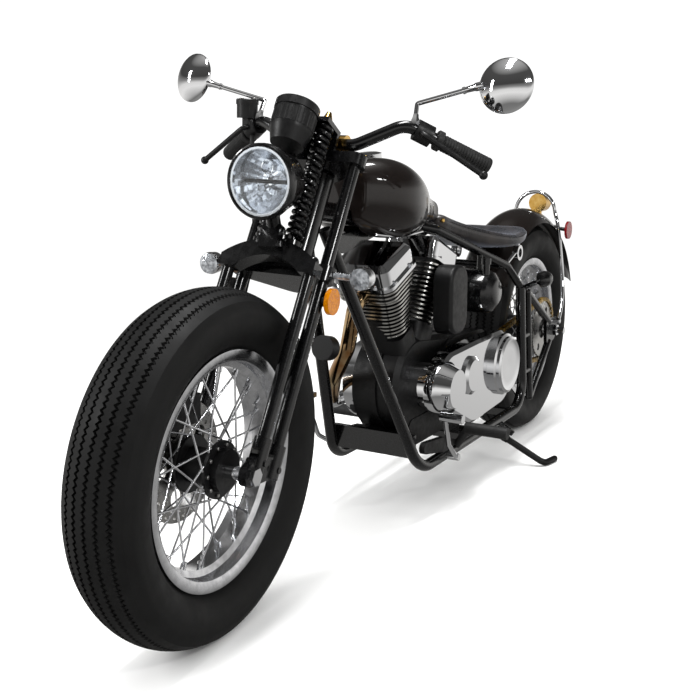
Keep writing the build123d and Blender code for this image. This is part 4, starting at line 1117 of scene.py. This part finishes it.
def saddle_ring(x, scale):
    """Section of the saddle: dished top inside a rolled rim, two seams down its side wall."""
    z, half_width, half_height = saddle_size(x)
    depth, middle, length = SADDLE_DISH
    dish = depth * bump_at(x - middle, length, 4)
    ring = []
    for k in range(SADDLE_ROUND):
        a = 2 * math.pi * k / SADDLE_ROUND
        c, s = math.cos(a), math.sin(a)
        v = math.copysign(abs(c) ** SADDLE_SQUARE, c)
        h = math.copysign(abs(s) ** SADDLE_SQUARE, s)
        y, up = half_width * scale * v, half_height * scale * h
        if s > 0:
            inside = max(0.0, 1 - (v / SADDLE_RIM) ** 2)
            up -= (dish * inside + saddle_dent(x, y) * min(1.0, inside * 2) + saddle_sag(x) * h) * scale
            up += 1.5 * scale * bump_at(abs(v) - 0.9, 0.06)
        else:
            up *= 0.86
        seam = sum(bump_at(h - at, 0.07) for at in SADDLE_SEAMS)
        tuck = 1.3 * seam * (abs(v) > 0.8) + 2.2 * bump_at(h + 0.35, 0.4) * (abs(v) > 0.6)
        y -= math.copysign(tuck * scale, v)
        ring.append(BIKE @ Vector((x, y, z + up)))
    return ring


def saddle_seam(x, side):
    """Point between the two seams on a side wall."""
    z, half_width, half_height = saddle_size(x)
    return BIKE @ Vector((x, side * half_width * 0.985, z + (half_height - saddle_sag(x)) * 0.41))


class CRUISER_OT_saddle(bpy.types.Operator):
    """Stretched leather saddle with a rolled rim, seams, stitches, buttons and nose bolt"""

    bl_idname = "cruiser.saddle"
    bl_label = "Saddle"

    def execute(self, context):
        first, last = SADDLE[-1][0] + 1, SADDLE[0][0] - 1
        rings = []
        for i in range(SADDLE_LONG + 1):
            x = first + (last - first) * (1 - math.cos(math.pi * i / SADDLE_LONG)) / 2
            ends = max((x - last + 30) / 30, (first + 34 - x) / 34, 0.0)
            rings.append(saddle_ring(x, max(math.sqrt(max(1 - ends ** 2.4, 0)), 0.02)))
        saddle = shell("saddle_stretched", rings, "leather", crease=60)
        settle(saddle, "chassis", "leather", "seat")
        points, aims = [], []
        for x in np.arange(first + 46, last - 40, 6.0):
            for side in (1, -1):
                at = saddle_seam(x, side)
                points.append(at)
                aims.append((saddle_seam(x + 4, side) - at).normalized())
        studs("saddle_stitches", points, aims)
        points = []
        for x, y in SADDLE_BUTTONS:
            z, half_width, half_height = saddle_size(x)
            v = y / half_width
            top = (1 - abs(v) ** (2 / SADDLE_SQUARE)) ** (SADDLE_SQUARE / 2) * (half_height - saddle_sag(x))
            drop = SADDLE_DISH[0] * max(0.0, 1 - (v / SADDLE_RIM) ** 2) + 5.5
            points.append(BIKE @ Vector((x, y, z + top - drop)))
        studs("saddle_buttons", points, facing(BIKE, (0, 0, 1), len(points)))
        bolts = [BIKE @ on_side(side, SADDLE_BOLT) for side in (1, -1)]
        studs("saddle_nose_bolts", bolts, outward(BIKE, 1, 0.3))
        return {"FINISHED"}


def chain_path(count):
    """Points, in metres, and directions of the chain line in the bike's x-z plane, and the links' pitch."""
    (x0, z0, r0), (x1, z1, r1) = REAR_SPROCKET, FRONT_SPROCKET
    span = math.hypot(x1 - x0, z1 - z0)
    tilt = math.atan2(z1 - z0, x1 - x0)
    lean = math.acos((r0 - r1) / span)
    straight = math.sqrt(span ** 2 - (r0 - r1) ** 2)
    # length, sprocket and angle on it where a run starts, and 1 if the run goes round it
    runs = (
        (straight, REAR_SPROCKET, tilt + lean, 0),
        (2 * lean * r1, FRONT_SPROCKET, tilt + lean, 1),
        (straight, FRONT_SPROCKET, tilt - lean, 0),
        (2 * (math.pi - lean) * r0, REAR_SPROCKET, tilt - lean, 1),
    )
    total = sum(run[0] for run in runs)
    points, aims = [], []
    for i in range(count):
        s = total * i / count
        for length, (x, z, r), a, bends in runs:
            if s < length:
                break
            s -= length
        a -= bends * s / r
        way = Vector((math.sin(a), 0, -math.cos(a)))
        at = Vector((x + r * math.cos(a), 0, z + r * math.sin(a)))
        points.append((at + way * s * (1 - bends)) * MM)
        aims.append(way)
    return points, aims, total / count * MM


class CRUISER_OT_drive(bpy.types.Operator):
    """Drive chain of real links, sprocket, rear axle and caliper"""

    bl_idname = "cruiser.drive"
    bl_label = "Drive"

    def execute(self, context):
        points, aims, pitch = chain_path(size_props().link_count)
        place = BIKE @ Matrix.Translation((0, CHAIN_Y, 0)) @ METRES
        values = {**in_metres(CHAIN_SIZES), "Pitch": pitch, "Material": finish("chain")}
        chain = grow("drive_chain_links", link_tree, points, aims, place=place, **values)
        settle(chain, "chassis", "chain_steel", "drive_chain")
        dress("rear_sprocket", "steel")
        dress("rear_axle", "chrome")
        dress("rear_caliper", "satin")
        return {"FINISHED"}


def light_studio(tree):
    """White paper all round for the eye and for dull surfaces; polished ones see a darker room."""
    place = add(tree, "ShaderNodeTexCoord")
    split = add(tree, "ShaderNodeSeparateXYZ", {"Vector": place.outputs["Generated"]})
    band = add(tree, "ShaderNodeMapRange", {"Value": split.outputs["Z"], "From Min": -1.0, "From Max": 1.0})
    ramp = add(tree, "ShaderNodeValToRGB", {"Fac": band})
    stops = ramp.color_ramp.elements
    for at, grey in ROOM_GREYS[1:-1]:
        stops.new(at)
    for stop, (at, grey) in zip(stops, ROOM_GREYS):
        stop.position = at
        stop.color = (grey, grey * 0.985, grey * 0.96, 1)
    ray = add(tree, "ShaderNodeLightPath")
    plain = {0: ray.outputs["Is Camera Ray"], 1: ray.outputs["Is Diffuse Ray"]}
    seen = add(tree, "ShaderNodeMath", plain, operation="MAXIMUM")
    ends = {0: seen, 6: ramp, 7: (STUDIO_WHITE, STUDIO_WHITE, STUDIO_WHITE, 1)}
    mix = add(tree, "ShaderNodeMix", ends, data_type="RGBA")
    tree.links.new(mix.outputs[2], tree.nodes["Background"].inputs["Color"])


def place_camera(scene):
    """Camera at the photograph's viewpoint."""
    yaw, pitch, roll = (math.radians(v) for v in (CAMERA_YAW, CAMERA_PITCH, CAMERA_ROLL))
    turn = BIKE.to_3x3() * (1 / MM)
    look = Vector((-math.cos(yaw) * math.cos(pitch), -math.sin(yaw) * math.cos(pitch), -math.sin(pitch)))
    side = look.cross(Vector((0, 0, 1))).normalized()
    up = side.cross(look)
    right = side * math.cos(roll) + up * math.sin(roll)
    up = up * math.cos(roll) - side * math.sin(roll)
    axes = Matrix((turn @ right, turn @ up, turn @ -look)).transposed().to_4x4()
    view = bpy.data.cameras.new("photo_view")
    view.lens = CAMERA_LENS
    view.sensor_width = 36
    camera = link_object("photo_view", view)
    camera.matrix_world = Matrix.Translation(BIKE @ Vector(CAMERA_AT)) @ axes
    scene.camera = camera


class CRUISER_OT_stage(bpy.types.Operator):
    """Pale floor, soft studio light and the photograph's viewpoint"""

    bl_idname = "cruiser.stage"
    bl_label = "Stage"

    def execute(self, context):
        scene = context.scene
        mesh = bpy.data.meshes.new("studio_floor")
        corners = [(x * FLOOR_REACH, y * FLOOR_REACH, 0) for x, y in ((-1, -1), (1, -1), (1, 1), (-1, 1))]
        mesh.from_pydata(corners, [], [(0, 1, 2, 3)])
        mesh.materials.append(finish("paper"))
        floor = link_object("studio_floor", mesh)
        floor.visible_glossy = False
        world = bpy.data.worlds.new("studio")
        scene.world = world
        world.use_nodes = True
        light_studio(world.node_tree)
        for name, at, aim, width, height, watts in SOFTBOXES:
            light = bpy.data.lights.new(name, "AREA")
            light.shape = "RECTANGLE"
            light.size = width
            light.size_y = height
            light.energy = watts
            holder = link_object(name, light)
            holder.location = at
            holder.rotation_euler = (Vector(aim) - Vector(at)).to_track_quat("-Z", "Y").to_euler()
        place_camera(scene)
        scene.view_settings.view_transform = "Standard"
        return {"FINISHED"}


MAKE_ORDER = (
    CRUISER_OT_wheels, CRUISER_OT_fork, CRUISER_OT_lamps, CRUISER_OT_controls, CRUISER_OT_frame,
    CRUISER_OT_engine, CRUISER_OT_body, CRUISER_OT_saddle, CRUISER_OT_drive, CRUISER_OT_stage,
)


class CRUISER_PT_looks(bpy.types.Panel):
    """Sidebar panel of the cruiser's pieces"""

    bl_idname = "CRUISER_PT_looks"
    bl_label = "Cruiser"
    bl_space_type = "VIEW_3D"
    bl_region_type = "UI"
    bl_category = "Cruiser"

    def draw(self, context):
        for group in (context.scene.cruiser_finish, context.scene.cruiser_sizes):
            for name in group.__annotations__:
                self.layout.prop(group, name)
        for operator in MAKE_ORDER:
            self.layout.operator(operator.bl_idname)


CLASSES = (CruiserFinish, CruiserSizes, *MAKE_ORDER, CRUISER_PT_looks)


def register():
    for item in CLASSES:
        bpy.utils.register_class(item)
    bpy.types.Scene.cruiser_finish = PointerProperty(type=CruiserFinish)
    bpy.types.Scene.cruiser_sizes = PointerProperty(type=CruiserSizes)


def unregister():
    del bpy.types.Scene.cruiser_sizes
    del bpy.types.Scene.cruiser_finish
    for item in reversed(CLASSES):
        bpy.utils.unregister_class(item)


def main():
    """Register and make every piece in order."""
    register()
    for operator in MAKE_ORDER:
        group, name = operator.bl_idname.split(".")
        getattr(getattr(bpy.ops, group), name)()


if __name__ == "__main__":
    main()
